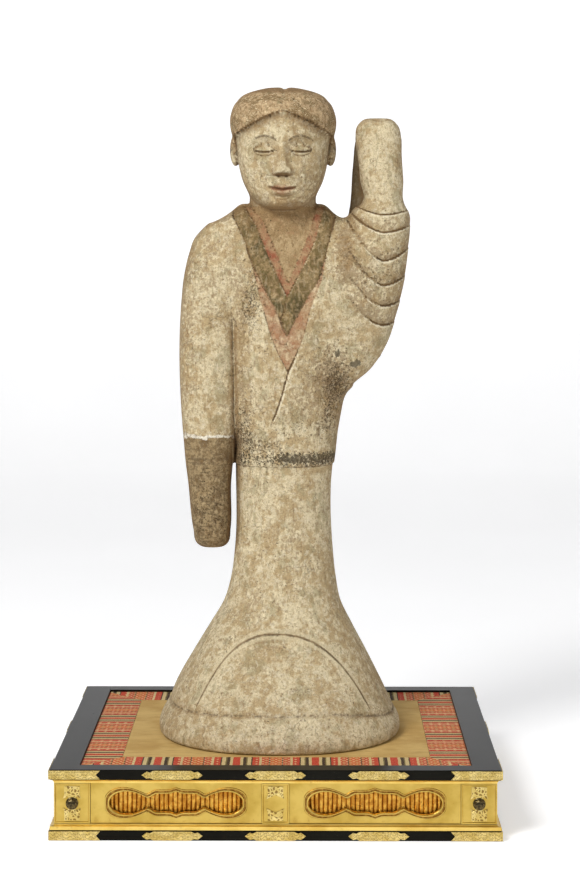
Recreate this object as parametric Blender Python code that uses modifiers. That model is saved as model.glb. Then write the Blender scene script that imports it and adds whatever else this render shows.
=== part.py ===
"""A painted pottery dancer of early Chinese type, standing on a lacquered and gilt wooden stand.

Metres, +Z up. The origin is the middle of the stand's underside, and the front looks along -Y.
The stand is a box: a base board, gilt mouldings, six posts, six pierced panels with a liner
behind them, a top board with a woven mat let into it, and thin gilt metal fittings.
The dancer is one solid: a few upright limbs, each with oval cross-sections, are joined to one skin,
which is then drawn onto a smooth form that also carries the carved relief.
"""

import math

import bmesh
import bpy
import numpy as np
from mathutils import Matrix, Vector

# Gap between pieces that touch
CLEARANCE = 0.0003

# Stand
STAND_WIDTH = 0.3280
STAND_DEPTH = 0.2790
STAND_HEIGHT = 0.0514
TOP_BOARD_THICKNESS = 0.0072
BASE_BOARD_THICKNESS = 0.0073
BOARD_OVERHANG = 0.0031
FITTING_THICKNESS = 0.0004

# Gilt mouldings above the base board and below the top board
BASE_FILLET_HEIGHT = 0.0026
BASE_FILLET_REACH = 0.0029
BASE_COVE_HEIGHT = 0.0012
BASE_COVE_REACH = 0.0023
TOP_COVE_HEIGHT = 0.0028
TOP_COVE_REACH = 0.0026

# Posts, pierced panels and the liner behind them
POST_WIDTH = 0.0260
MIDDLE_POST_WIDTH = 0.0195
POST_RIM_WIDTH = 0.0013
POST_RECESS = 0.0006
PANEL_THICKNESS = 0.0025
PANEL_SETBACK = 0.0014
LINER_THICKNESS = 0.0030
LINER_GAP = 0.0030
OPENING_LENGTH_SHARE = 0.78
OPENING_HALF_HEIGHT = 0.0083
OPENING_NECK_HALF_HEIGHT = 0.0032
OPENING_RIM_WIDTH = 0.0032
OPENING_RIM_RISE = 0.0008

# Metal fittings
CORNER_CAP_LENGTH = 0.0370
RAIL_MOUNT_LENGTH = 0.0440
RAIL_MOUNT_OFFSET = 0.0745
SWALLOWTAIL_DEPTH = 0.0030
POST_PLATE_WIDTH = 0.0112
POST_PLATE_SHARE = 0.72
KNOB_DIAMETER = 0.0090
KNOB_HEIGHT = 0.0038

# Mat let into the top board
MAT_LENGTH = 0.2850
MAT_DEPTH = 0.2480
MAT_FIELD_LENGTH = 0.2280
MAT_FIELD_DEPTH = 0.1875
MAT_THICKNESS = 0.0025
MAT_SUNK = 0.0018

# Dancer. One unit is a five-hundredth of the figure's height
FIGURE_HEIGHT = 0.5000
UNIT = FIGURE_HEIGHT / 500
FIGURE_TRIANGLES = 5600
SKIN_SPACING = 2.1
DRAWING_ROUNDS = 9

# Oval cross-sections, in units: height, centre x, centre y, half width, half depth
BODY_SECTIONS = (
    (0.0, 1.5, 0.0, 93.6, 92.0),
    (8.8, 1.2, 0.0, 93.4, 92.0),
    (15.5, 1.0, 0.0, 90.4, 89.5),
    (23.0, 1.2, 0.0, 86.2, 85.5),
    (34.0, 0.8, 0.0, 81.4, 80.5),
    (62.0, 1.6, 0.0, 66.6, 65.0),
    (81.0, 2.4, 0.0, 55.8, 53.5),
    (100.0, 3.4, 0.5, 45.6, 43.0),
    (118.5, 4.3, 1.0, 41.0, 37.5),
    (140.0, 4.6, 1.5, 38.4, 34.0),
    (205.0, 4.8, 2.0, 37.8, 31.5),
    (222.0, 5.9, 2.0, 39.1, 32.0),
    (245.0, 4.6, 1.5, 44.4, 32.5),
    (270.0, 6.0, 1.0, 47.5, 33.5),
    (330.0, 7.0, 1.0, 50.0, 36.0),
    (368.0, 5.0, 1.5, 52.0, 35.0),
    (388.0, 4.0, 2.0, 49.0, 31.0),
    (398.0, 4.0, 2.0, 44.0, 28.5),
    (404.0, 3.8, 2.0, 38.6, 27.5),
    (410.0, 3.4, 2.0, 33.0, 27.0),
)
HANGING_SLEEVE_SECTIONS = (
    (142.6, -51.0, -2.0, 10.0, 11.0),
    (146.0, -51.2, -2.0, 12.6, 13.9),
    (156.0, -51.5, -2.0, 14.5, 16.5),
    (194.0, -53.3, -2.0, 16.9, 20.0),
    (212.0, -53.5, -2.0, 18.9, 22.5),
    (222.0, -53.1, -2.0, 20.1, 23.3),
    (236.0, -52.4, -2.0, 22.0, 24.0),
    (255.0, -52.3, -2.0, 23.4, 25.0),
    (335.0, -52.0, -1.0, 23.2, 26.0),
    (353.0, -51.0, 0.0, 22.4, 25.5),
    (372.0, -47.5, 0.5, 21.6, 24.0),
    (384.0, -44.5, 1.0, 20.0, 21.0),
    (394.0, -40.0, 1.0, 15.0, 17.0),
)
RAISED_SLEEVE_SECTIONS = (
    (270.0, 46.0, -1.0, 10.5, 12.0),
    (278.0, 51.0, -2.0, 17.5, 17.0),
    (288.0, 55.0, -2.5, 22.2, 20.5),
    (300.0, 59.2, -3.0, 25.0, 23.0),
    (325.0, 65.5, -3.0, 27.0, 25.5),
    (353.0, 71.8, -3.0, 27.0, 26.5),
    (372.0, 75.4, -3.0, 25.7, 26.0),
    (390.0, 78.4, -3.0, 24.3, 24.0),
    (401.0, 79.0, -3.0, 23.6, 22.5),
    (405.0, 79.6, -3.0, 21.6, 21.0),
    (410.0, 81.2, -3.5, 17.4, 18.5),
    (429.0, 80.8, -3.0, 16.8, 17.5),
    (448.0, 79.2, -2.0, 17.2, 16.8),
    (462.0, 78.2, -0.5, 17.8, 16.4),
    (471.0, 77.8, 1.5, 15.8, 15.0),
    (476.5, 77.8, 2.5, 11.0, 11.0),
)
SLEEVE_TAIL_SECTIONS = (
    (288.0, 61.0, 24.0, 20.0, 12.0),
    (330.0, 65.0, 25.0, 21.5, 13.0),
    (372.0, 69.0, 24.0, 22.0, 13.0),
    (405.0, 73.5, 21.0, 17.5, 12.0),
    (440.0, 75.0, 18.0, 16.2, 8.5),
    (462.0, 76.5, 12.0, 15.0, 8.5),
    (471.0, 77.0, 9.0, 12.0, 7.0),
)
NECK_SECTIONS = (
    (380.0, 3.8, 0.0, 29.0, 24.0),
    (400.0, 3.6, -1.5, 26.4, 24.0),
    (412.0, 3.8, -2.5, 25.8, 24.0),
    (430.0, 4.2, -3.0, 25.8, 26.0),
)
HEAD_SECTIONS = (
    (405.0, 4.0, -20.0, 9.0, 11.0),
    (408.5, 4.0, -16.0, 17.0, 20.0),
    (415.0, 4.0, -12.0, 24.0, 27.5),
    (424.0, 4.0, -8.5, 29.5, 33.0),
    (436.0, 4.0, -6.0, 33.4, 37.0),
    (452.0, 4.0, -4.5, 35.4, 39.5),
    (470.0, 4.0, -3.5, 35.8, 40.5),
    (485.0, 4.0, -3.0, 30.5, 36.0),
    (495.0, 4.0, -2.5, 18.0, 22.0),
)
HAIR_SECTIONS = (
    (422.0, 4.0, 12.0, 24.0, 28.0),
    (440.0, 4.0, 5.0, 31.5, 38.0),
    (455.0, 4.0, 0.0, 36.0, 42.5),
    (465.0, 4.2, -2.0, 40.2, 44.5),
    (480.0, 4.0, -2.5, 40.4, 43.5),
    (489.0, 3.8, -2.0, 36.0, 38.5),
    (496.0, 3.6, -1.5, 27.0, 29.0),
    (500.0, 3.4, -1.0, 14.0, 16.0),
)
OVAL_POWER = 2.25
HEAD_CENTRE_X = 4.0
EAR_OFFSET = 37.0
EAR_CENTRE_YZ = (2.0, 452.0)
EAR_RADII = (4.4, 8.0, 12.5)

# Widths over which neighbouring limbs melt into each other, in units
SHOULDER_BLEND = 20.0
ARM_CREASE_BLEND = 2.0
RAISED_ARM_BLEND = 16.0
SHOULDER_VALLEY_FILL = 24.0
SHOULDER_VALLEY_HEIGHTS = (300.0, 335.0, 372.0, 398.0)
NECK_BLEND = 3.0
TAIL_BLEND = 3.0
END_ROUNDING = 3.5
SLIT_TOP = 218.0
SLIT_MARGIN = 1.25 * SKIN_SPACING

# Collar, in units: edges of the layered V openings, as (height, x) from the shoulder to the tip
SKIN_EDGES = (
    ((409, -21.5), (397, -11), (382, -4.5), (352, 6.7), (345, 8.2), (338, 12)),
    ((409, 30.5), (385, 23.5), (351, 9.3), (345, 8.2), (338, 2)),
)
INNER_COLLAR_EDGES = (
    ((409, -26.5), (393, -16.5), (371, -7.7), (338, 7.5), (328, 14)),
    ((409, 36.5), (385, 30.2), (370, 24.0), (338, 7.5), (328, 2)),
)
WIDE_COLLAR_EDGES = (
    ((401, -35), (384, -26.5), (362, -18.5), (322, 2), (309, 7), (300, 13)),
    ((401, 45), (373, 38), (352, 32), (331, 19), (310, 8), (300, 2)),
)
OUTER_BORDER_EDGES = (
    ((401, -35), (384, -26.5), (366, -20), (336, -13), (307, -4.5), (293, 1.5), (281, 8), (272, 14)),
    ((401, 45), (373, 38), (352, 34.5), (331, 26), (307, 20), (291, 13), (281, 8), (272, 2)),
)
COLLAR_OVERLAP = (
    *INNER_COLLAR_EDGES[1][:-1],
    (328, 5.4),
    (321, 2.4),
    (316, 3.6),
    (309, 6.5),
)
COLLAR_ROLL_RISE = 1.5
COLLAR_TOP = 412
COLLAR_LAYERS = (
    (OUTER_BORDER_EDGES, 0.5),
    (WIDE_COLLAR_EDGES, 0.8),
    (INNER_COLLAR_EDGES, 1.1),
    (SKIN_EDGES, 0.9),
)
ROBE_EDGE = ((300, 17), (281, 8.5), (261, 3), (249, -1), (242, -4))
ROBE_EDGE_START = (285, 300)
ROBE_EDGE_END = (236, 250)
ROBE_EDGE_STEP = 1.5

# Other relief of the dress and hair, in units
JACKET_HEM_HEIGHT = 208.0
JACKET_STEP = 1.1
SKIRT_BAND_HEIGHT = 27.0
SKIRT_BAND_GROOVE = 1.0
ARCH_TOP = (-1.0, 83.0)
ARCH_RISE = 1.6
FOLD_LOW_HEIGHTS = (401.5, 388.0, 366.3, 347.5, 331.6, 316.5)
FOLD_LOW_X = 82.0
FOLD_LEFT_RISES = (6.0, 10.0, 17.5, 15.0, 13.0, 12.0)
FOLD_RIGHT_RISES = (4.0, 5.0, 10.0, 9.0, 7.0, 8.0)
FOLD_DEPTH = 1.4
HAIRLINE_PEAK = 481.5
HAIRLINE_FALL = 17.0
HAIRLINE_BACK = 424.0
PARTING_DEPTH = 1.6
PARTING_ENDS = (470, 482)

# Face, in units: plain proportions, level and symmetrical about the head's middle
EYE_HEIGHT = 451.0
EYE_OFFSET = 14.0
NOSE_BASE_HEIGHT = 431.5
MOUTH_HEIGHT = 421.5
CHEEK_HEIGHT = 436

# Colours
CLAY = (0.52, 0.42, 0.28)
GOLD_LEAF = (0.60, 0.40, 0.10)
PALE_GOLD = (0.74, 0.55, 0.20)
LACQUER = (0.010, 0.010, 0.009)
KNOB_BLACK = (0.030, 0.026, 0.022)
STRAW = (0.50, 0.33, 0.13)
BROCADE_RED = (0.56, 0.10, 0.05)

# Heights of the stand's layers
BASE_BOARD_TOP = BASE_BOARD_THICKNESS
TOP_BOARD_BOTTOM = STAND_HEIGHT - TOP_BOARD_THICKNESS
BASE_MOULDING_FOOT = BASE_BOARD_TOP + CLEARANCE
BASE_LEDGE = BASE_MOULDING_FOOT + BASE_FILLET_HEIGHT
TOP_MOULDING_HEAD = TOP_BOARD_BOTTOM - CLEARANCE
TOP_LEDGE = TOP_MOULDING_HEAD - TOP_COVE_HEIGHT
POST_FOOT = BASE_LEDGE + BASE_COVE_HEIGHT
MAT_TOP = STAND_HEIGHT - MAT_SUNK
BOARD_WIDTH = STAND_WIDTH - 2 * (FITTING_THICKNESS + CLEARANCE)
BOARD_DEPTH = STAND_DEPTH - 2 * (FITTING_THICKNESS + CLEARANCE)
BODY_WIDTH = BOARD_WIDTH - 2 * BOARD_OVERHANG
BODY_DEPTH = BOARD_DEPTH - 2 * BOARD_OVERHANG


def clear_scene():
    for thing in list(bpy.data.objects):
        bpy.data.objects.remove(thing, do_unlink=True)


def material(name, colour, roughness, metallic=0.0):
    made = bpy.data.materials.new(name)
    made.use_nodes = True
    shader = made.node_tree.nodes["Principled BSDF"]
    shader.inputs["Base Color"].default_value = (*colour, 1.0)
    shader.inputs["Roughness"].default_value = roughness
    shader.inputs["Metallic"].default_value = metallic
    return made


def add_object(name, mesh, finish, place=Matrix.Identity(4)):
    made = bpy.data.objects.new(name, mesh)
    parts.objects.link(made)
    if finish.name not in mesh.materials:
        mesh.materials.append(finish)
    made.matrix_world = place
    return made


def mesh_from(bm, name):
    mesh = bpy.data.meshes.new(name)
    bmesh.ops.recalc_face_normals(bm, faces=bm.faces)
    bm.to_mesh(mesh)
    bm.free()
    return mesh


def box_mesh(name, size, rounding=0.0):
    """A box centred on its origin, with its upright and level edges rounded."""
    bm = bmesh.new()
    bmesh.ops.create_cube(bm, size=1.0)
    bmesh.ops.scale(bm, vec=Vector(size), verts=bm.verts)
    if rounding:
        bmesh.ops.bevel(
            bm, geom=bm.edges[:], offset=rounding, segments=2, profile=0.5, affect="EDGES"
        )
    return mesh_from(bm, name)


def ring_between(bm, lower, upper):
    """Faces between two closed rings with the same number of points."""
    count = len(lower)
    for i in range(count):
        j = (i + 1) % count
        bm.faces.new((lower[i], lower[j], upper[j], upper[i]))


def rectangle_sweep(name, profile, half_x, half_y):
    """A ring around a rectangle: profile holds (reach beyond the rectangle, height) points."""
    bm = bmesh.new()
    rings = []
    for reach, height in profile:
        x = half_x + reach
        y = half_y + reach
        corners = ((-x, -y), (x, -y), (x, y), (-x, y))
        rings.append([bm.verts.new((*corner, height)) for corner in corners])
    for i, ring in enumerate(rings):
        ring_between(bm, ring, rings[(i + 1) % len(rings)])
    return mesh_from(bm, name)


def flat_shape(name, outlines, thickness):
    """Plates cut to the first outline, with the others as holes, from z = 0 up to the thickness."""
    curve = bpy.data.curves.new(name, "CURVE")
    curve.dimensions = "2D"
    curve.fill_mode = "BOTH"
    curve.extrude = thickness / 2
    for outline in outlines:
        spline = curve.splines.new("POLY")
        spline.points.add(len(outline) - 1)
        for point, (x, y) in zip(spline.points, outline):
            point.co = (x, y, 0.0, 1.0)
        spline.use_cyclic_u = True
    shape = bpy.data.objects.new(name, curve)
    parts.objects.link(shape)
    bpy.context.view_layer.update()
    mesh = bpy.data.meshes.new_from_object(shape.evaluated_get(bpy.context.evaluated_depsgraph_get()))
    bpy.data.objects.remove(shape)
    bpy.data.curves.remove(curve)
    mesh.transform(Matrix.Translation((0, 0, thickness / 2)))
    bm = bmesh.new()
    bm.from_mesh(mesh)
    bmesh.ops.remove_doubles(bm, verts=bm.verts, dist=1e-6)
    bpy.data.meshes.remove(mesh)
    return mesh_from(bm, name)


def rectangle(length, depth):
    x = length / 2
    y = depth / 2
    return [(-x, -y), (x, -y), (x, y), (-x, y)]


def joined_by_boolean(name, first, second, operation):
    """The union or difference of two meshes."""
    body = bpy.data.objects.new(name, first)
    tool = bpy.data.objects.new(name + "_tool", second)
    for thing in (body, tool):
        parts.objects.link(thing)
    modifier = body.modifiers.new("cut", "BOOLEAN")
    modifier.operation = operation
    modifier.solver = "EXACT"
    modifier.object = tool
    bpy.context.view_layer.update()
    mesh = bpy.data.meshes.new_from_object(body.evaluated_get(bpy.context.evaluated_depsgraph_get()))
    for thing in (body, tool):
        bpy.data.objects.remove(thing)
    mesh.name = name
    return mesh


def facing(side, distance, along=0.0, height=0.0):
    """Stands a plate drawn in XY upright on one side of the stand, looking outwards.

    Side 0 is the front, 1 the right, 2 the back and 3 the left. The plate's X runs along the side,
    its Y becomes height, and its Z points outwards.
    """
    turn = Matrix.Rotation(math.radians(90 * side), 4, "Z")
    upright = Matrix.Rotation(math.radians(90), 4, "X")
    return turn @ Matrix.Translation((along, -distance, height)) @ upright


def half_length(side):
    return (BODY_WIDTH if side % 2 == 0 else BODY_DEPTH) / 2


def half_reach(side):
    return (BODY_DEPTH if side % 2 == 0 else BODY_WIDTH) / 2


SIDE_NAMES = ("front", "right", "back", "left")


# Boards and mouldings
def make_boards():
    base = box_mesh("base_board", (BOARD_WIDTH, BOARD_DEPTH, BASE_BOARD_THICKNESS), 0.0007)
    add_object("base_board", base, black_lacquer, Matrix.Translation((0, 0, BASE_BOARD_THICKNESS / 2)))
    board = box_mesh("top_board", (BOARD_WIDTH, BOARD_DEPTH, TOP_BOARD_THICKNESS), 0.0007)
    recess_depth = MAT_THICKNESS + MAT_SUNK + CLEARANCE
    cutter = box_mesh(
        "mat_recess",
        (MAT_LENGTH + 2 * CLEARANCE, MAT_DEPTH + 2 * CLEARANCE, 2 * recess_depth),
    )
    cutter.transform(Matrix.Translation((0, 0, TOP_BOARD_THICKNESS / 2)))
    board = joined_by_boolean("top_board", board, cutter, "DIFFERENCE")
    middle = STAND_HEIGHT - TOP_BOARD_THICKNESS / 2
    add_object("top_board", board, black_lacquer, Matrix.Translation((0, 0, middle)))


def cove(reach, height, steps):
    """A hollow quarter oval, from (reach, 0) in to (0, height)."""
    points = []
    for i in range(steps + 1):
        angle = math.radians(90) * i / steps
        points.append((reach * (1 - math.sin(angle)), height * (1 - math.cos(angle))))
    return points


def make_mouldings():
    inner = -POST_WIDTH * 0.5
    foot = BASE_MOULDING_FOOT
    base = [(inner, foot), (BASE_FILLET_REACH, foot), (BASE_FILLET_REACH, BASE_LEDGE)]
    base += [(out, BASE_LEDGE + up) for out, up in cove(BASE_COVE_REACH, BASE_COVE_HEIGHT, 4)]
    base.append((inner, POST_FOOT))
    head = TOP_MOULDING_HEAD
    top = [(inner, TOP_LEDGE)]
    top += [(out, head - up) for out, up in reversed(cove(TOP_COVE_REACH, TOP_COVE_HEIGHT, 3))]
    top.append((inner, head))
    for name, profile in (("base_moulding", base), ("top_moulding", top)):
        add_object(name, rectangle_sweep(name, profile, BODY_WIDTH / 2, BODY_DEPTH / 2), gold_leaf)


# Posts, pierced panels and liners
def post_mesh(name, width, depth, sunk_sides):
    """An upright post with a shallow sunk field on the named sides of its box."""
    height = TOP_LEDGE - POST_FOOT - 2 * CLEARANCE
    bm = bmesh.new()
    bmesh.ops.create_cube(bm, size=1.0)
    bmesh.ops.scale(bm, vec=Vector((width, depth, height)), verts=bm.verts)
    for direction in sunk_sides:
        bm.faces.ensure_lookup_table()
        face = max(bm.faces, key=lambda f: f.normal.dot(direction) + 1e-3 * f.calc_area())
        bmesh.ops.inset_region(bm, faces=[face], thickness=POST_RIM_WIDTH)
        bmesh.ops.inset_region(bm, faces=[face], thickness=POST_RECESS, depth=-POST_RECESS)
    return mesh_from(bm, name)


def make_posts():
    middle = (POST_FOOT + TOP_LEDGE) / 2
    x = BODY_WIDTH / 2 - POST_WIDTH / 2
    y = BODY_DEPTH / 2 - POST_WIDTH / 2
    corners = (("front_left", -1, -1), ("front_right", 1, -1), ("back_right", 1, 1), ("back_left", -1, 1))
    for name, side_x, side_y in corners:
        looks = (Vector((side_x, 0, 0)), Vector((0, side_y, 0)))
        mesh = post_mesh("corner_post_" + name, POST_WIDTH, POST_WIDTH, looks)
        place = Matrix.Translation((side_x * x, side_y * y, middle))
        add_object("corner_post_" + name, mesh, gold_leaf, place)
    for name, side_y in (("front", -1), ("back", 1)):
        depth = PANEL_SETBACK + PANEL_THICKNESS + LINER_GAP - CLEARANCE
        mesh = post_mesh("middle_post_" + name, MIDDLE_POST_WIDTH, depth, (Vector((0, side_y, 0)),))
        y = BODY_DEPTH / 2 - depth / 2
        add_object("middle_post_" + name, mesh, gold_leaf, Matrix.Translation((0, side_y * y, middle)))


def opening_half_height(share):
    """Half the opening's height at a share of its half length: two end lobes and a pointed middle."""
    share = abs(share)
    lobe_centre = 0.74
    notch = 0.41
    full = OPENING_HALF_HEIGHT
    neck = OPENING_NECK_HALF_HEIGHT
    if share > lobe_centre:
        return full * math.sqrt(max(0.0, 1 - ((share - lobe_centre) / (1 - lobe_centre)) ** 2))
    if share > notch:
        rise = math.sin(math.radians(90) * (share - notch) / (lobe_centre - notch))
        return neck + (full - neck) * rise
    shoulder = neck + (0.8 * full - neck) * math.sin(math.radians(90) * min(1.0, (notch - share) / 0.14))
    point = max(0.0, 1 - share / 0.10)
    return shoulder + 0.2 * full * point


def opening_outline(half, widening):
    """The cusped opening's outline, moved outwards by the widening."""
    right = (0.10, 0.29, 0.41, 0.57, 0.72, 0.86, 0.96)
    shares = [-1, *(-share for share in reversed(right)), 0, *right]
    top = []
    bottom = []
    for share in shares:
        x = share * (half + widening)
        height = opening_half_height(share) + widening * (0 if share == -1 else 1)
        top.append((x, height))
        bottom.append((-x, -height))
    return top + bottom


def ring_edges(bm, ring):
    return [bm.edges.get((ring[i - 1], ring[i])) for i in range(len(ring))]


def panel_mesh(name, width):
    """A board pierced by the cusped opening, with a raised rim around it."""
    height = TOP_LEDGE - POST_FOOT - 2 * CLEARANCE
    half = width * OPENING_LENGTH_SHARE / 2
    rim_top = PANEL_THICKNESS + OPENING_RIM_RISE
    sheet = rectangle(width, height)
    opening = opening_outline(half, 0.0)
    rim = opening_outline(half, OPENING_RIM_WIDTH)
    levels = (
        (sheet, 0.0),
        (opening, 0.0),
        (opening, rim_top),
        (rim, rim_top),
        (rim, PANEL_THICKNESS),
        (sheet, PANEL_THICKNESS),
    )
    bm = bmesh.new()
    rings = [[bm.verts.new((x, y, z)) for x, y in outline] for outline, z in levels]
    for lower, upper in ((1, 2), (2, 3), (3, 4), (5, 0)):
        ring_between(bm, rings[lower], rings[upper])
    for outer, inner in ((0, 1), (5, 4)):
        edges = ring_edges(bm, rings[outer]) + ring_edges(bm, rings[inner])
        bmesh.ops.triangle_fill(bm, use_beauty=True, edges=edges)
    return mesh_from(bm, name)


def make_panels():
    middle = (POST_FOOT + TOP_LEDGE) / 2
    for side, side_name in enumerate(SIDE_NAMES):
        inner_end = half_length(side) - POST_WIDTH - CLEARANCE
        if side % 2 == 0:
            start = MIDDLE_POST_WIDTH / 2 + CLEARANCE
            spans = ((side_name + "_left", -inner_end, -start), (side_name + "_right", start, inner_end))
        else:
            spans = ((side_name, -inner_end, inner_end),)
        distance = half_reach(side) - PANEL_SETBACK - PANEL_THICKNESS
        for name, low, high in spans:
            mesh = panel_mesh("pierced_panel_" + name, high - low)
            place = facing(side, distance, (low + high) / 2, middle)
            add_object("pierced_panel_" + name, mesh, gold_leaf, place)
        liner_size = (2 * inner_end, TOP_LEDGE - POST_FOOT - 2 * CLEARANCE, LINER_THICKNESS)
        liner = box_mesh("liner_" + side_name, liner_size)
        place = facing(side, distance - LINER_GAP - LINER_THICKNESS / 2, 0.0, middle)
        add_object("liner_" + side_name, liner, gold_leaf, place)


# Metal fittings
def swallowtail_strip(name, length, height):
    """A sheet folded round an upright corner at the origin, with a V cut into each end.

    Its arms run along +X and +Y, and it looks towards -X and -Y.
    """
    cut = SWALLOWTAIL_DEPTH
    half = height / 2
    bm = bmesh.new()
    grid = []
    for z, notch in ((-half, 0.0), (0.0, cut), (half, 0.0)):
        row = ((0, length - notch), (0, length - 2 * cut), (0, 0), (length - 2 * cut, 0), (length - notch, 0))
        grid.append([bm.verts.new((x, y, z)) for x, y in row])
    for lower, upper in zip(grid, grid[1:]):
        for i in range(len(lower) - 1):
            bm.faces.new((lower[i], upper[i], upper[i + 1], lower[i + 1]))
    bm.normal_update()
    if sum(face.normal.x + face.normal.y for face in bm.faces) > 0:
        bmesh.ops.reverse_faces(bm, faces=bm.faces)
    mesh = bpy.data.meshes.new(name)
    bm.to_mesh(mesh)
    bm.free()
    return mesh


def make_corner_caps():
    reach_x = BOARD_WIDTH / 2 + CLEARANCE
    reach_y = BOARD_DEPTH / 2 + CLEARANCE
    corners = (("front_left", -1, -1), ("front_right", 1, -1), ("back_right", 1, 1), ("back_left", -1, 1))
    rails = (
        ("top", STAND_HEIGHT - TOP_BOARD_THICKNESS / 2, TOP_BOARD_THICKNESS),
        ("base", BASE_BOARD_THICKNESS / 2, BASE_BOARD_THICKNESS),
    )
    for rail, middle, thickness in rails:
        for name, side_x, side_y in corners:
            title = "corner_cap_" + rail + "_" + name
            mesh = swallowtail_strip(title, CORNER_CAP_LENGTH, thickness - 0.0008)
            mesh.transform(Matrix.Diagonal((-side_x, -side_y, 1, 1)))
            if side_x * side_y < 0:
                mesh.flip_normals()
            place = Matrix.Translation((side_x * reach_x, side_y * reach_y, middle))
            cap = add_object(title, mesh, pale_gold, place)
            shell = cap.modifiers.new("thickness", "SOLIDIFY")
            shell.thickness = FITTING_THICKNESS
            shell.use_even_offset = True
            shell.offset = 1.0


def mount_outline(length, height):
    """A strip whose ends swell to a lobe and close in a point."""
    half = height / 2
    end = length / 2
    corner = ((end - 0.0085, half), (end - 0.0060, half * 0.62), (end - 0.0035, half * 0.80), (end, 0.0))
    right = [(x, y) for x, y in corner]
    lower_right = [(x, -y) for x, y in reversed(corner[:-1])]
    left = [(-x, -y) for x, y in corner]
    upper_left = [(-x, y) for x, y in reversed(corner[:-1])]
    return right + lower_right + left + upper_left


def make_rail_mounts():
    rails = (
        ("top", STAND_HEIGHT - TOP_BOARD_THICKNESS / 2, TOP_BOARD_THICKNESS),
        ("base", BASE_BOARD_THICKNESS / 2, BASE_BOARD_THICKNESS),
    )
    for rail, middle, thickness in rails:
        outline = mount_outline(RAIL_MOUNT_LENGTH, thickness - 0.0008)
        for side, side_name in enumerate(SIDE_NAMES):
            reach = (BOARD_DEPTH if side % 2 == 0 else BOARD_WIDTH) / 2 + CLEARANCE
            spots = (("left", -1), ("middle", 0), ("right", 1)) if side % 2 == 0 else (("middle", 0),)
            for spot, count in spots:
                title = "rail_mount_" + rail + "_" + side_name + "_" + spot
                mesh = flat_shape(title, (outline,), FITTING_THICKNESS)
                place = facing(side, reach, count * RAIL_MOUNT_OFFSET, middle)
                add_object(title, mesh, pale_gold, place)


def plate_outline(towards, field_half):
    """A post plate: square at its outer end, a swallowtail towards the post's middle."""
    half = POST_PLATE_WIDTH / 2
    long = POST_PLATE_SHARE * field_half
    points = ((-half, 0), (half, 0), (half, long * 0.68), (half * 1.15, long), (0, long * 0.66))
    points += ((-half * 1.15, long), (-half, long * 0.68))
    return [(x, towards * y) for x, y in points]


def double_plate_outline(field_half):
    """Two swallowtail plates, tail to tail, joined by a neck that the knob covers."""
    half = POST_PLATE_WIDTH / 2
    long = POST_PLATE_SHARE * field_half
    steps = ((half, 0.0), (half, long * 0.68), (half * 1.15, long), (half * 0.5, long * 0.80))
    lower_right = [(x, rise - field_half) for x, rise in steps]
    right = lower_right + [(x, -y) for x, y in reversed(lower_right)]
    return right + [(-x, y) for x, y in reversed(right)]


def knob_mesh(name):
    """A domed knob with a flat back, its axis along Z."""
    sides = 10
    bm = bmesh.new()
    rings = []
    for radius, rise in ((1.0, 0.0), (1.0, 0.3), (0.62, 0.86)):
        reach = radius * KNOB_DIAMETER / 2
        angles = [2 * math.pi * i / sides for i in range(sides)]
        spots = [(reach * math.cos(a), reach * math.sin(a), rise * KNOB_HEIGHT) for a in angles]
        rings.append([bm.verts.new(spot) for spot in spots])
    for lower, upper in zip(rings, rings[1:]):
        ring_between(bm, lower, upper)
    bm.faces.new(rings[0])
    tip = bm.verts.new((0, 0, KNOB_HEIGHT))
    for i in range(sides):
        bm.faces.new((rings[-1][i], rings[-1][(i + 1) % sides], tip))
    return mesh_from(bm, name)


def make_post_plates():
    middle = (POST_FOOT + TOP_LEDGE) / 2
    field_half = (TOP_LEDGE - POST_FOOT) / 2 - POST_RIM_WIDTH - 2 * POST_RECESS
    for side, side_name in enumerate(SIDE_NAMES):
        surface = half_reach(side) - POST_RECESS + CLEARANCE
        corner = half_length(side) - POST_WIDTH / 2
        for spot, along in (("left", -corner), ("right", corner)):
            title = "post_fitting_" + side_name + "_" + spot
            fitting = flat_shape(title, (double_plate_outline(field_half),), FITTING_THICKNESS)
            if side_name == "front":
                knob = knob_mesh(title)
                knob.transform(Matrix.Translation((0, 0, FITTING_THICKNESS / 2)))
                fitting = joined_by_boolean(title, fitting, knob, "UNION")
            add_object(title, fitting, pale_gold, facing(side, surface, along, middle))
        if side % 2 == 1:
            continue
        for spot, towards in (("lower", 1), ("upper", -1)):
            title = "post_fitting_" + side_name + "_middle_" + spot
            plate = flat_shape(title, (plate_outline(towards, field_half),), FITTING_THICKNESS)
            place = facing(side, surface, 0.0, middle - towards * field_half)
            add_object(title, plate, pale_gold, place)


# Mat
def make_mat():
    foot = MAT_TOP - MAT_THICKNESS
    field = flat_shape("mat_field", (rectangle(MAT_FIELD_LENGTH, MAT_FIELD_DEPTH),), MAT_THICKNESS)
    add_object("mat_field", field, straw, Matrix.Translation((0, 0, foot)))
    opening = rectangle(MAT_FIELD_LENGTH + 2 * CLEARANCE, MAT_FIELD_DEPTH + 2 * CLEARANCE)
    border = flat_shape("mat_border", (rectangle(MAT_LENGTH, MAT_DEPTH), opening), MAT_THICKNESS)
    add_object("mat_border", border, brocade, Matrix.Translation((0, 0, foot)))


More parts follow.
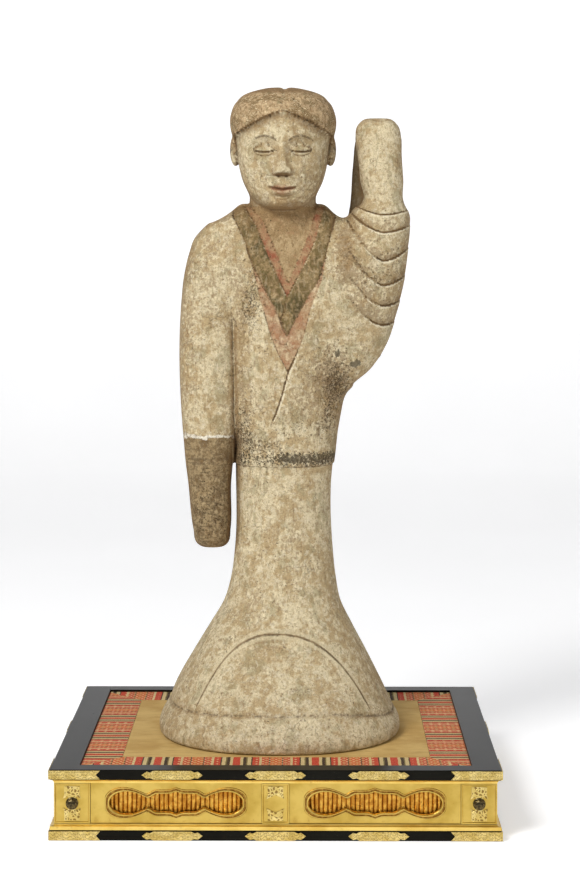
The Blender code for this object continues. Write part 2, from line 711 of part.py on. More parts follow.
# The dancer's form, as a field that is zero on the skin and negative inside
def through(knots, values, at):
    """A smooth curve through the values at the knots."""
    knots = np.asarray(knots, dtype=float)
    values = np.asarray(values, dtype=float)
    slopes = np.gradient(values, knots)
    at = np.clip(at, knots[0], knots[-1])
    i = np.clip(np.searchsorted(knots, at) - 1, 0, len(knots) - 2)
    span = knots[i + 1] - knots[i]
    t = (at - knots[i]) / span
    start = (2 * t**3 - 3 * t**2 + 1) * values[i] + (t**3 - 2 * t**2 + t) * span * slopes[i]
    end = (3 * t**2 - 2 * t**3) * values[i + 1] + (t**3 - t**2) * span * slopes[i + 1]
    return start + end


def step(value, low, high):
    """Rises smoothly from 0 at low to 1 at high."""
    t = np.clip((value - low) / (high - low), 0.0, 1.0)
    return t * t * (3 - 2 * t)


def melt(a, b, width):
    """The union of two fields, with their corner filled over the width."""
    share = np.maximum(width - np.abs(a - b), 0.0) / width
    return np.minimum(a, b) - share * share * width / 4


def limb(points, sections):
    """Distance to an upright limb that passes through the oval sections."""
    table = np.array(sections)
    x, y, z = points.T
    centre_x, centre_y, half_x, half_y = (through(table[:, 0], table[:, i], z) for i in range(1, 5))
    across = np.abs(x - centre_x) / half_x
    along = np.abs(y - centre_y) / half_y
    scale = (across**OVAL_POWER + along**OVAL_POWER) ** (1 / OVAL_POWER)
    reach = np.hypot(x - centre_x, y - centre_y)
    side = reach * (1 - 1 / np.maximum(scale, 1e-4))
    end = np.maximum(table[0, 0] - z, z - table[-1, 0])
    return -melt(-side, -end, END_ROUNDING)


def ellipsoid(points, centre, radii):
    offset = (points - np.array(centre)) / np.array(radii)
    return (np.linalg.norm(offset, axis=1) - 1) * min(radii)


def edge_at(edge, z):
    """The x of an edge given as (height, x) points, at each height."""
    heights = [point[0] for point in reversed(edge)]
    places = [point[1] for point in reversed(edge)]
    return np.interp(z, heights, places)


def between_edges(x, z, edges, softness):
    left, right = edges
    inside = step(x - edge_at(left, z), -softness, softness)
    inside *= step(edge_at(right, z) - x, -softness, softness)
    return inside


def collar_roll(x, z):
    """The rounded form of the two wide collar bands. The right one laps over the left one."""
    lap = edge_at(COLLAR_OVERLAP, z)
    wide_left = edge_at(WIDE_COLLAR_EDGES[0], z)
    wide_right = edge_at(WIDE_COLLAR_EDGES[1], z)
    inner_left = np.minimum(edge_at(INNER_COLLAR_EDGES[0], z), lap)
    roll = np.zeros(len(x))
    for left, right in ((wide_left, inner_left), (lap, wide_right)):
        share = np.clip((x - left) / np.maximum(right - left, 0.5), 0.0, 1.0)
        roll = np.maximum(roll, (4 * share * (1 - share)) ** 0.7)
    return roll * step(z, 309, 314)


def dress_relief(points, softness):
    """How far the carved dress stands proud of the smooth form."""
    x, y, z = points.T
    front = step(-y, 4.0, 10.0)
    relief = np.zeros(len(points))
    for edges, depth in COLLAR_LAYERS:
        lowest = min(edges[0][-1][0], edges[1][-1][0])
        here = front * step(z, lowest, lowest + 4) * (1 - step(z, COLLAR_TOP, COLLAR_TOP + 2))
        relief -= depth * here * between_edges(x, z, edges, softness)
    relief += COLLAR_ROLL_RISE * front * collar_roll(x, z) * (1 - step(z, COLLAR_TOP - 8, COLLAR_TOP - 2))
    lapped = step(x - edge_at(ROBE_EDGE, z), -softness, softness)
    fading = step(z, *ROBE_EDGE_END) * (1 - step(z, *ROBE_EDGE_START)) * (1 - step(x, 14, 26))
    relief += ROBE_EDGE_STEP * front * lapped * fading
    on_body = step(x, -36.0, -34.0)
    jacket = step(z, JACKET_HEM_HEIGHT - softness, JACKET_HEM_HEIGHT + softness)
    relief += JACKET_STEP * on_body * jacket * (1 - step(z, JACKET_HEM_HEIGHT + 3, JACKET_HEM_HEIGHT + 30))
    band = SKIRT_BAND_HEIGHT - 9 * (np.maximum(x - 42, 0) / 44) ** 1.3 - 2.5 * np.maximum(-x - 20, 0) / 58
    relief -= SKIRT_BAND_GROOVE * np.exp(-(((z - band) / (1.2 + softness / 2)) ** 2))
    side = x - ARCH_TOP[0]
    arch = ARCH_TOP[1] - np.where(side > 0, 0.0020, 0.0029) * np.abs(side) ** 2.4
    below = arch - z
    on_front = step(-y, 15.0, 30.0)
    lip = np.exp(-np.maximum(below, 0) / 14) * step(below, -softness, softness)
    hollow = np.exp(np.minimum(below, 0) / 9) * (1 - step(below, -softness, softness))
    above_band = step(z - band, 2.0, 12.0)
    relief += ARCH_RISE * on_front * above_band * (lip - 0.5 * hollow)
    return relief


def fold_relief(points, softness):
    """Ledges of the gathered sleeve, each one wider than the one above it."""
    x, y, z = points.T
    relief = np.zeros(len(points))
    here = step(x, 48.0, 58.0) * (1 - step(y, 2.0, 14.0))
    for low, left_rise, right_rise in zip(FOLD_LOW_HEIGHTS, FOLD_LEFT_RISES, FOLD_RIGHT_RISES):
        side = (x - FOLD_LOW_X) / 20
        line = low + np.where(side < 0, left_rise, right_rise) * np.abs(side) ** 1.7
        above = z - line
        ledge = 0.5 * np.exp(np.minimum(above, 0) / 7) * (1 - step(above, -softness, softness))
        hollow = 0.7 * np.exp(-np.maximum(above, 0) / 6) * step(above, -softness, softness)
        relief += FOLD_DEPTH * here * (ledge - hollow)
    return relief


def face_relief(points):
    """A calm, plain face."""
    x, y, z = points.T
    x = x - HEAD_CENTRE_X
    front = step(-y, 14.0, 26.0)
    relief = np.zeros(len(points))
    for side in (-1, 1):
        across = (x - side * EYE_OFFSET) / 10.0
        socket = np.exp(-(across**2) - ((z - EYE_HEIGHT - 1.5) / 6.0) ** 2)
        lid = np.exp(-(((x - side * EYE_OFFSET) / 7.0) ** 2) - ((z - EYE_HEIGHT) / 3.0) ** 2)
        relief += 1.5 * lid - 2.8 * socket
        cheek = np.exp(-(((x - side * 19) / 12) ** 2) - ((z - CHEEK_HEIGHT) / 11) ** 2)
        relief += 0.8 * cheek
    brow = np.exp(-((x / 26.0) ** 4) - ((z - EYE_HEIGHT - 10) / 5.0) ** 2)
    relief += 0.7 * brow
    along = np.clip((EYE_HEIGHT + 6 - z) / (EYE_HEIGHT + 6 - NOSE_BASE_HEIGHT), 0.0, 1.0)
    nose_width = 3.0 + 3.6 * along
    nose_end = step(z, NOSE_BASE_HEIGHT - 2.0, NOSE_BASE_HEIGHT + 3.0)
    nose_end *= 1 - step(z, EYE_HEIGHT + 4, EYE_HEIGHT + 14)
    relief += (2.2 + 6.0 * along) * np.exp(-((x / nose_width) ** 2)) * nose_end
    lips = np.exp(-((x / 9.5) ** 4))
    relief += 1.8 * lips * np.exp(-(((z - MOUTH_HEIGHT - 2.3) / 2.3) ** 2))
    relief += 1.8 * lips * np.exp(-(((z - MOUTH_HEIGHT + 2.6) / 2.5) ** 2))
    relief -= 0.9 * lips * np.exp(-(((z - MOUTH_HEIGHT) / 1.0) ** 2))
    relief += 1.5 * np.exp(-((x / 10.0) ** 2) - ((z - 411.5) / 4.0) ** 2)
    return relief * front


def hairline_height(x, y):
    """Lower edge of the hair: a peak over the forehead, down past the temples to the nape."""
    fall = HAIRLINE_FALL * (np.abs(x - HEAD_CENTRE_X) / 36.0) ** 1.25
    front = HAIRLINE_PEAK - fall
    behind = step(y, -14.0, 16.0)
    return front * (1 - behind) + HAIRLINE_BACK * behind


def head_field(points):
    x, y, z = points.T
    skull = limb(points, HEAD_SECTIONS)
    skull = skull - face_relief(points)
    cap = limb(points, HAIR_SECTIONS)
    cap = cap + PARTING_DEPTH * np.exp(-(((x - 5.5) / 2.2) ** 2)) * step(z, *PARTING_ENDS)
    cap = np.maximum(cap, hairline_height(x, y) - z)
    head = melt(skull, cap, 0.8)
    for side in (-1, 1):
        centre = (HEAD_CENTRE_X + side * EAR_OFFSET, *EAR_CENTRE_YZ)
        head = melt(head, ellipsoid(points, centre, EAR_RADII), 1.5)
    return head


def figure_field(points, softness):
    """The whole dancer, with its relief."""
    z = points[:, 2]
    body = limb(points, BODY_SECTIONS)
    hanging = limb(points, HANGING_SLEEVE_SECTIONS)
    shoulder = ARM_CREASE_BLEND * (0.3 + 0.7 * step(z, SLIT_TOP, SLIT_TOP + 12))
    shoulder += (SHOULDER_BLEND - ARM_CREASE_BLEND) * step(z, 310.0, 372.0)
    dressed = melt(body, hanging, shoulder)
    raised = limb(points, RAISED_SLEEVE_SECTIONS) - fold_relief(points, softness)
    raised = melt(raised, limb(points, SLEEVE_TAIL_SECTIONS), TAIL_BLEND)
    bottom, filled_from, filled_to, top = SHOULDER_VALLEY_HEIGHTS
    in_valley = step(z, bottom, filled_from) * (1 - step(z, filled_to, top))
    dressed = melt(dressed, raised, RAISED_ARM_BLEND + SHOULDER_VALLEY_FILL * in_valley)
    dressed = dressed - dress_relief(points, softness)
    neck = melt(limb(points, NECK_SECTIONS), head_field(points), NECK_BLEND)
    return melt(dressed, neck, 1.5)


def narrowed_below_slit(sections):
    """The hanging sleeve, kept a little clear of the body where a slit parts them."""
    made = []
    for z, centre_x, centre_y, half_x, half_y in sections:
        margin = SLIT_MARGIN if z < SLIT_TOP else 0.0
        made.append((z, centre_x - margin / 2, centre_y, half_x - margin / 2, half_y))
    return made


def loft_into(bm, sections, sides=28):
    """A closed limb through its oval sections."""
    rings = []
    for z, centre_x, centre_y, half_x, half_y in sections:
        ring = []
        for i in range(sides):
            angle = 2 * math.pi * i / sides
            cosine = math.cos(angle)
            sine = math.sin(angle)
            x = centre_x + half_x * math.copysign(abs(cosine) ** (2 / OVAL_POWER), cosine)
            y = centre_y + half_y * math.copysign(abs(sine) ** (2 / OVAL_POWER), sine)
            ring.append(bm.verts.new((x, y, z)))
        rings.append(ring)
    for lower, upper in zip(rings, rings[1:]):
        ring_between(bm, lower, upper)
    bm.faces.new(rings[0])
    bm.faces.new(rings[-1])


def joined_skin(spacing):
    """One even skin of quads around all the limbs together."""
    bm = bmesh.new()
    limbs = (BODY_SECTIONS, RAISED_SLEEVE_SECTIONS, SLEEVE_TAIL_SECTIONS, NECK_SECTIONS, HEAD_SECTIONS)
    limbs += (narrowed_below_slit(HANGING_SLEEVE_SECTIONS),)
    for sections in limbs:
        loft_into(bm, sections)
    top_half = [section for section in HAIR_SECTIONS if section[0] > EAR_CENTRE_YZ[1]]
    loft_into(bm, top_half)
    for side in (-1, 1):
        centre = Matrix.Translation((HEAD_CENTRE_X + side * EAR_OFFSET, *EAR_CENTRE_YZ))
        place = centre @ Matrix.Diagonal((*EAR_RADII, 1))
        bmesh.ops.create_uvsphere(bm, u_segments=16, v_segments=10, radius=1.0, matrix=place)
    lofts = bpy.data.objects.new("lofts", mesh_from(bm, "lofts"))
    parts.objects.link(lofts)
    joint = lofts.modifiers.new("skin", "REMESH")
    joint.mode = "VOXEL"
    joint.voxel_size = spacing
    bpy.context.view_layer.update()
    mesh = bpy.data.meshes.new_from_object(lofts.evaluated_get(bpy.context.evaluated_depsgraph_get()))
    bpy.data.objects.remove(lofts)
    return mesh


def gradient(points, softness, reach=0.35):
    slopes = []
    for axis in range(3):
        shift = np.zeros(3)
        shift[axis] = reach
        ahead = figure_field(points + shift, softness)
        behind = figure_field(points - shift, softness)
        slopes.append((ahead - behind) / (2 * reach))
    return np.stack(slopes, axis=1)


def drawn_onto_form(points, softness, rounds):
    """Moves the points onto the form, a little further each round."""
    for _ in range(rounds):
        value = figure_field(points, softness)
        slope = gradient(points, softness)
        steepness = np.maximum(np.linalg.norm(slope, axis=1), 0.25)
        move = np.clip(value / steepness, -2.5, 2.5)
        points = points - (move / steepness)[:, None] * slope
    return points


def make_dancer():
    mesh = joined_skin(SKIN_SPACING)
    points = np.empty(len(mesh.vertices) * 3)
    mesh.vertices.foreach_get("co", points)
    points = drawn_onto_form(points.reshape(-1, 3), SKIN_SPACING * 0.5, DRAWING_ROUNDS)
    points[:, 2] = np.where(points[:, 2] < 0.6, 0.0, points[:, 2])
    mesh.vertices.foreach_set("co", (points * UNIT).ravel())
    mesh.update()
    place = Matrix.Translation((0, 0, MAT_TOP + CLEARANCE))
    dancer = add_object("dancer_figure", mesh, clay, place)
    coarser = dancer.modifiers.new("fewer_faces", "DECIMATE")
    coarser.ratio = FIGURE_TRIANGLES / (2 * len(mesh.polygons))


clear_scene()
parts = bpy.data.collections.new("pottery_dancer_on_stand")
bpy.context.scene.collection.children.link(parts)

clay = material("painted_pottery", CLAY, 0.85)
gold_leaf = material("gold_leaf", GOLD_LEAF, 0.35, 1.0)
pale_gold = material("gilt_fittings", PALE_GOLD, 0.30, 1.0)
black_lacquer = material("black_lacquer", LACQUER, 0.22)
straw = material("woven_field", STRAW, 0.85)
brocade = material("brocade_border", BROCADE_RED, 0.80)

make_boards()
make_mouldings()
make_posts()
make_panels()
make_corner_caps()
make_rail_mounts()
make_post_plates()
make_mat()
make_dancer()
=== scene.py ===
"""Looks of a painted pottery dancer on its lacquered and gilt stand.

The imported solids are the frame. The dancer, the pierced panels, their ribbed liners and the knobbed
plates are modelled again here in finer meshes that stand for their solids. Every other solid keeps
its shape and gets its finish from nodes. Metres, +Z up, the front looks along -Y.
"""

import math

import bmesh
import bpy
import numpy as np
from mathutils import Matrix, Vector


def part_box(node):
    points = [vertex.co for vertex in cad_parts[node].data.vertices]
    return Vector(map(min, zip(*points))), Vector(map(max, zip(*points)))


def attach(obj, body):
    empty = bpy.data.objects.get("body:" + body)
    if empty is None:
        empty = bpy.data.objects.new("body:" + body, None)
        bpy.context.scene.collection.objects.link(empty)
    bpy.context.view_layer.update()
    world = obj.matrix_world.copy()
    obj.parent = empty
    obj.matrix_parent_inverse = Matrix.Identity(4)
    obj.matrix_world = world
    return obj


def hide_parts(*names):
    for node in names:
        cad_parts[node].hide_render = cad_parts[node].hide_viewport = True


SIDE_NAMES = ("front", "right", "back", "left")
METRES_PER_MM = 0.001

# Dancer: fineness of its skin
SKIN_SPACING = 1.15
SKIN_TRIANGLES = 192000
EDGE_SOFTNESS = 0.45
DRAWING_ROUNDS = 8

# Oval cross-sections, in units of a five-hundredth of the figure's height:
# height, centre x, centre y, half width, half depth
BODY_SECTIONS = (
    (0, 1.5, 0, 93.6, 92),
    (8.8, 1.2, 0, 93.4, 92),
    (15.5, 1, 0, 90.4, 89.5),
    (23, 1.2, 0, 86.2, 85.5),
    (34, 0.8, 0, 81.4, 80.5),
    (62, 1.6, 0, 66.6, 65),
    (81, 2.4, 0, 55.8, 53.5),
    (100, 3.4, 0.5, 45.6, 43),
    (118.5, 4.3, 1, 41, 37.5),
    (140, 4.6, 1.5, 38.4, 34),
    (205, 4.8, 2, 37.8, 31.5),
    (222, 5.9, 2, 39.1, 32),
    (245, 4.6, 1.5, 44.4, 32.5),
    (270, 6, 1, 47.5, 33.5),
    (330, 7, 1, 50, 36),
    (368, 5, 1.5, 52, 35),
    (388, 4, 2, 49, 31),
    (398, 4, 2, 44, 28.5),
    (404, 3.8, 2, 38.6, 27.5),
    (410, 3.4, 2, 33, 27),
)
HANGING_SLEEVE_SECTIONS = (
    (142.6, -51, -2, 10, 11),
    (146, -51.2, -2, 12.6, 13.9),
    (156, -51.5, -2, 14.5, 16.5),
    (194, -53.3, -2, 16.9, 20),
    (212, -53.5, -2, 18.9, 22.5),
    (222, -53.1, -2, 20.1, 23.3),
    (236, -52.4, -2, 22, 24),
    (255, -52.3, -2, 23.4, 25),
    (335, -52, -1, 23.2, 26),
    (353, -51, 0, 22.4, 25.5),
    (372, -47.5, 0.5, 21.6, 24),
    (384, -44.5, 1, 20, 21),
    (394, -40, 1, 15, 17),
)
RAISED_SLEEVE_SECTIONS = (
    (270, 46, -1, 10.5, 12),
    (278, 51, -2, 17.5, 17),
    (288, 55, -2.5, 22.2, 20.5),
    (300, 59.2, -3, 25, 23),
    (325, 65.5, -3, 27, 25.5),
    (353, 71.8, -3, 27, 26.5),
    (372, 75.4, -3, 25.7, 26),
    (390, 78.4, -3, 24.3, 24),
    (401, 79, -3, 23.6, 22.5),
    (405, 79.6, -3, 21.6, 21),
    (410, 81.2, -3.5, 17.4, 18.5),
    (429, 80.8, -3, 16.8, 17.5),
    (448, 79.2, -2, 17.2, 16.8),
    (462, 78.2, -0.5, 17.8, 16.4),
    (471, 77.8, 1.5, 15.8, 15),
    (476.5, 77.8, 2.5, 11, 11),
)
SLEEVE_TAIL_SECTIONS = (
    (288, 61, 24, 20, 12),
    (330, 65, 25, 21.5, 13),
    (372, 69, 24, 22, 13),
    (405, 73.5, 21, 17.5, 12),
    (440, 75, 18, 16.2, 8.5),
    (462, 76.5, 12, 15, 8.5),
    (471, 77, 9, 12, 7),
)
NECK_SECTIONS = (
    (380, 3.8, 0, 29, 24),
    (400, 3.6, -1.5, 26.4, 24),
    (412, 3.8, -2.5, 25.8, 24),
    (430, 4.2, -3, 25.8, 26),
)
HEAD_SECTIONS = (
    (405, 4, -20, 9, 11),
    (408.5, 4, -16, 17, 20),
    (415, 4, -12, 24, 27.5),
    (424, 4, -8.5, 29.5, 33),
    (436, 4, -6, 33.4, 37),
    (452, 4, -4.5, 35.4, 39.5),
    (470, 4, -3.5, 35.8, 40.5),
    (485, 4, -3, 30.5, 36),
    (495, 4, -2.5, 18, 22),
)
HAIR_SECTIONS = (
    (422, 4, 12, 24, 28),
    (440, 4, 5, 31.5, 38),
    (455, 4, 0, 36, 42.5),
    (465, 4.2, -2, 40.2, 44.5),
    (480, 4, -2.5, 40.4, 43.5),
    (489, 3.8, -2, 36, 38.5),
    (496, 3.6, -1.5, 27, 29),
    (500, 3.4, -1, 14, 16),
)
OVAL_POWER = 2.25
HEAD_CENTRE_X = 4.0
EAR_OFFSET = 37.0
EAR_CENTRE_YZ = (2.0, 452.0)
EAR_RADII = (4.4, 8.0, 12.5)
EAR_HOLLOW_YZ = (-4.5, 453.0)
EAR_HOLLOW_RADII = (2.2, 4.2, 6.5)

# Widths over which neighbouring limbs melt into each other, in units
SHOULDER_BLEND = 20.0
ARM_CREASE_BLEND = 2.0
RAISED_ARM_BLEND = 16.0
SHOULDER_VALLEY_FILL = 24.0
SHOULDER_VALLEY_HEIGHTS = (300.0, 335.0, 372.0, 398.0)
NECK_BLEND = 3.0
TAIL_BLEND = 3.0
END_ROUNDING = 3.5
SLIT_TOP = 218.0
SLIT_MARGIN = 2.6

# Collar, in units: edges of the layered V openings, as (height, x) from the shoulder to the tip
SKIN_EDGES = (
    ((409, -21.5), (397, -11), (382, -4.5), (352, 6.7), (345, 8.2), (338, 12)),
    ((409, 30.5), (385, 23.5), (351, 9.3), (345, 8.2), (338, 2)),
)
INNER_COLLAR_EDGES = (
    ((409, -26.5), (393, -16.5), (371, -7.7), (338, 7.5), (328, 14)),
    ((409, 36.5), (385, 30.2), (370, 24.0), (338, 7.5), (328, 2)),
)
WIDE_COLLAR_EDGES = (
    ((401, -35), (384, -26.5), (362, -18.5), (322, 2), (309, 7), (300, 13)),
    ((401, 45), (373, 38), (352, 32), (331, 19), (310, 8), (300, 2)),
)
OUTER_BORDER_EDGES = (
    ((401, -35), (384, -26.5), (366, -20), (336, -13), (307, -4.5), (293, 1.5), (281, 8), (272, 14)),
    ((401, 45), (373, 38), (352, 34.5), (331, 26), (307, 20), (291, 13), (281, 8), (272, 2)),
)
COLLAR_OVERLAP = (
    *INNER_COLLAR_EDGES[1][:-1],
    (328, 5.4),
    (321, 2.4),
    (316, 3.6),
    (309, 6.5),
)
COLLAR_ROLL_RISE = 1.5
COLLAR_TOP = 412
COLLAR_LAYERS = (
    (OUTER_BORDER_EDGES, 0.5),
    (WIDE_COLLAR_EDGES, 0.8),
    (INNER_COLLAR_EDGES, 1.1),
    (SKIN_EDGES, 0.9),
)
ROBE_EDGE = ((300, 17), (281, 8.5), (261, 3), (249, -1), (242, -4))
ROBE_EDGE_START = (285, 300)
ROBE_EDGE_END = (236, 250)
ROBE_EDGE_STEP = 1.5

# Other relief of the dress and hair, in units
JACKET_HEM_HEIGHT = 208.0
JACKET_STEP = 1.1
SKIRT_BAND_HEIGHT = 27.0
SKIRT_BAND_GROOVE = 1.0
ARCH_TOP = (-1.0, 83.0)
ARCH_RISE = 1.6
FOLD_LOW_HEIGHTS = (401.5, 388.0, 366.3, 347.5, 331.6, 316.5)
FOLD_LOW_X = 82.0
FOLD_LEFT_RISES = (6.0, 10.0, 17.5, 15.0, 13.0, 12.0)
FOLD_RIGHT_RISES = (4.0, 5.0, 10.0, 9.0, 7.0, 8.0)
FOLD_DEPTH = 1.8
HAIRLINE_PEAK = 481.5
HAIRLINE_FALL = 17.0
HAIRLINE_BACK = 424.0
PARTING_DEPTH = 1.6
PARTING_ENDS = (470, 482)

# Face, in units: plain proportions, level and symmetrical about the head's middle
EYE_HEIGHT = 451.0
EYE_OFFSET = 14.0
EYE_HALF_WIDTH = 7.6
NOSE_BASE_HEIGHT = 431.5
MOUTH_HEIGHT = 421.5
CHEEK_HEIGHT = 436

# Soft patches on the dancer's front, in units: centre x, height, half width, half height, amount
PALE_PATCHES = (
    (16, 86, 16, 14, 0.9),
    (-10, 186, 14, 14, 0.6),
    (12, 236, 16, 6, 0.9),
    (-56, 330, 16, 26, 0.5),
    (-60, 250, 14, 16, 0.6),
    (78, 440, 14, 22, 0.8),
    (0, 12, 92, 9, 0.5),
    (60, 308, 8, 16, 0.6),
    (-20, 440, 16, 14, 0.4),
)
# Earth-brown patches; the strong one under the chin is painted shadow
SOIL_AND_SHADE_PATCHES = (
    (-18, 104, 12, 12, 0.5),
    (-14, 78, 30, 5, 0.4),
    (44, 262, 16, 26, 1),
    (20, 258, 22, 14, 0.5),
    (-26, 240, 12, 34, 0.4),
    (14, 150, 8, 16, 0.5),
    (62, 352, 10, 20, 0.5),
    (74, 330, 16, 10, 0.4),
    (22, 424, 14, 14, 0.6),
    (-18, 412, 12, 10, 0.5),
    (0, 395, 30, 10, 0.7),
    (4, 406, 26, 6, 2.2),
    (52, 372, 7, 26, 1.6),
    (-28, 300, 5, 60, 0.8),
    (-52, 350, 28, 36, 0.45),
    (38, 284, 18, 16, 0.8),
    (-70, 300, 6, 70, 0.7),
)
SPECK_PATCHES = (
    (-26, 234, 8, 26, 0.85),
    (-8, 222, 18, 11, 0.7),
    (47, 268, 10, 16, 0.8),
    (40, 246, 5, 26, 0.55),
    (-20, 336, 8, 26, 0.9),
    (18, 240, 24, 10, 0.4),
    (78, 356, 20, 16, 0.4),
    (-53, 172, 20, 36, 0.55),
    (42, 286, 16, 18, 0.5),
)
CHIPS = (
    (46, 295, 2.6, 4, 1),
    (60, 287, 5, 3.2, 1),
)
BELT = (208.5, 218.5)
BELT_STRONG_FROM = 2.0
REPAIR_HEIGHT = 230.0

# Stand
OPENING_LENGTH_SHARE = 0.78
OPENING_HALF_HEIGHT = 0.0083
OPENING_NECK_HALF_HEIGHT = 0.0032
PANEL_THICKNESS = 0.0025
RIB_PITCH = 0.0033
RIB_RISE = 0.0014
FITTING_THICKNESS = 0.0004
KNOB_PROFILE = (
    (0.0045, 0.0),
    (0.0045, 0.0006),
    (0.0041, 0.0011),
    (0.0034, 0.0012),
    (0.0036, 0.0018),
    (0.0033, 0.0026),
    (0.0024, 0.0032),
    (0.0012, 0.00345),
    (0.0007, 0.0036),
)
KNOB_LOBES = 8

# Camera, as worked out from the stand's corners in the photo
CAMERA_LENS = 90.47
CAMERA_SENSOR = 36.0
CAMERA_SHIFT_Y = -0.2
CAMERA_PLACE = (0.0228, -1.7057, 0.4563)
CAMERA_TILT_DEG = 90 - 1.375
CAMERA_TURN_DEG = 0.449

# Studio: lamps as name, place, size and power, all aimed at one height on the figure's axis
LAMPS = (
    ("key", (-1.1, -1.6, 1.9), 0.9, 52.0),
    ("fill", (1.7, -1.2, 0.9), 1.4, 9.0),
    ("top", (0.3, 0.5, 2.4), 1.4, 6.0),
)
LAMP_AIM = (0.0, 0.0, 0.28)
SKY_WHITE_BELOW = 0.12
SKY_GREY_ABOVE = 0.32
SKY_GREY = (0.30, 0.30, 0.31, 1.0)
FLOOR_RADIUS = 2.6
FLOOR_WALL_HEIGHT = 0.9
FLOOR_BEND = 0.5


def tone(red, green, blue):
    """A colour as it looks on screen, from 0 to 255, made linear for a shader."""
    made = []
    for value in (red, green, blue):
        share = value / 255
        made.append(share / 12.92 if share <= 0.04045 else ((share + 0.055) / 1.055) ** 2.4)
    return tuple(made)


# Node materials
class Paint:
    """A material under construction. Each call adds a node and returns its output."""

    def __init__(self, name, roughness, metallic=0.0, specular=0.5):
        self.material = bpy.data.materials.new(name)
        self.material.use_nodes = True
        self.tree = self.material.node_tree
        self.shader = self.tree.nodes["Principled BSDF"]
        self.shader.inputs["Roughness"].default_value = roughness
        self.shader.inputs["Metallic"].default_value = metallic
        self.shader.inputs["Specular IOR Level"].default_value = specular
        coordinates = self.node("ShaderNodeTexCoord").outputs["Object"]
        self.mm = self.stretched(coordinates, (1000, 1000, 1000))

    def node(self, kind, **settings):
        made = self.tree.nodes.new(kind)
        for name, value in settings.items():
            setattr(made, name, value)
        return made

    def feed(self, socket, value):
        if isinstance(value, bpy.types.NodeSocket):
            self.tree.links.new(value, socket)
        elif isinstance(value, tuple) and socket.type == "RGBA":
            socket.default_value = (*value, 1.0)
        else:
            socket.default_value = value

    def stretched(self, vector, factors):
        made = self.node("ShaderNodeVectorMath", operation="MULTIPLY")
        self.feed(made.inputs[0], vector)
        self.feed(made.inputs[1], factors)
        return made.outputs[0]

    def axis(self, index):
        """One coordinate of the object, in millimetres."""
        made = self.node("ShaderNodeSeparateXYZ")
        self.feed(made.inputs[0], self.mm)
        return made.outputs[index]

    def math(self, operation, *values, clamp=False):
        made = self.node("ShaderNodeMath", operation=operation, use_clamp=clamp)
        for socket, value in zip(made.inputs, values):
            self.feed(socket, value)
        return made.outputs[0]

    def add(self, *values):
        total = values[0]
        for value in values[1:]:
            total = self.math("ADD", total, value)
        return total

    def times(self, *values):
        total = values[0]
        for value in values[1:]:
            total = self.math("MULTIPLY", total, value)
        return total

    def less(self, first, second):
        return self.math("SUBTRACT", first, second)

    def between(self, value, low, high):
        """Rises smoothly from 0 at low to 1 at high, also where low is the greater."""
        made = self.node("ShaderNodeMapRange", interpolation_type="SMOOTHSTEP")
        falling = low > high
        limits = (min(low, high), max(low, high), falling, not falling)
        for socket, number in zip(made.inputs[1:5], limits):
            socket.default_value = float(number)
        self.feed(made.inputs[0], value)
        return made.outputs[0]

    def noise(self, size, detail=4.0, roughness=0.55, stretch=(1.0, 1.0, 1.0), distortion=0.0):
        """Cloudy values around 0.5, with features of about the size in millimetres."""
        made = self.node("ShaderNodeTexNoise", noise_dimensions="3D")
        self.feed(made.inputs["Vector"], self.stretched(self.mm, stretch))
        made.inputs["Scale"].default_value = 1.0 / size
        made.inputs["Detail"].default_value = detail
        made.inputs["Roughness"].default_value = roughness
        made.inputs["Distortion"].default_value = distortion
        return made.outputs[0]

    def cells(self, size, feature="F1", vector=None, randomness=1.0):
        made = self.node("ShaderNodeTexVoronoi", feature=feature)
        self.feed(made.inputs["Vector"], vector or self.mm)
        made.inputs["Scale"].default_value = 1.0 / size
        made.inputs["Randomness"].default_value = randomness
        return made.outputs["Distance"]

    def blend(self, share, first, second, mode="MIX"):
        made = self.node("ShaderNodeMix", data_type="RGBA", blend_type=mode)
        self.feed(made.inputs[0], share)
        self.feed(made.inputs[6], first)
        self.feed(made.inputs[7], second)
        return made.outputs[2]

    def attribute(self, name):
        return self.node("ShaderNodeAttribute", attribute_name=name).outputs["Fac"]

    def coat(self, colour, share, strength, paint):
        """The paint laid over the colour, where the share is 1 at the strength."""
        return self.blend(self.times(share, strength), colour, paint)

    def ragged(self, value, noise, amount):
        """The value, moved up and down by the noise."""
        return self.add(value, self.times(self.less(noise, 0.5), amount))

    def warped(self, amount, size):
        """The millimetre coordinates, shifted about by noise, so that edges wander."""
        made = self.node("ShaderNodeTexNoise", noise_dimensions="3D")
        self.feed(made.inputs["Vector"], self.mm)
        made.inputs["Scale"].default_value = 1.0 / size
        spread = self.node("ShaderNodeVectorMath", operation="MULTIPLY_ADD")
        self.feed(spread.inputs[0], made.outputs["Color"])
        self.feed(spread.inputs[1], (amount, amount, amount))
        self.feed(spread.inputs[2], self.mm)
        return spread.outputs[0]

    def finish(self, colour, height=None, roughness=None):
        """Colour, height in millimetres and roughness go into the shader."""
        self.feed(self.shader.inputs["Base Color"], colour)
        if roughness is not None:
            self.feed(self.shader.inputs["Roughness"], roughness)
        if height is not None:
            bump = self.node("ShaderNodeBump")
            bump.inputs["Strength"].default_value = 1.0
            bump.inputs["Distance"].default_value = METRES_PER_MM
            self.feed(bump.inputs["Height"], height)
            self.feed(self.shader.inputs["Normal"], bump.outputs[0])
        return self.material


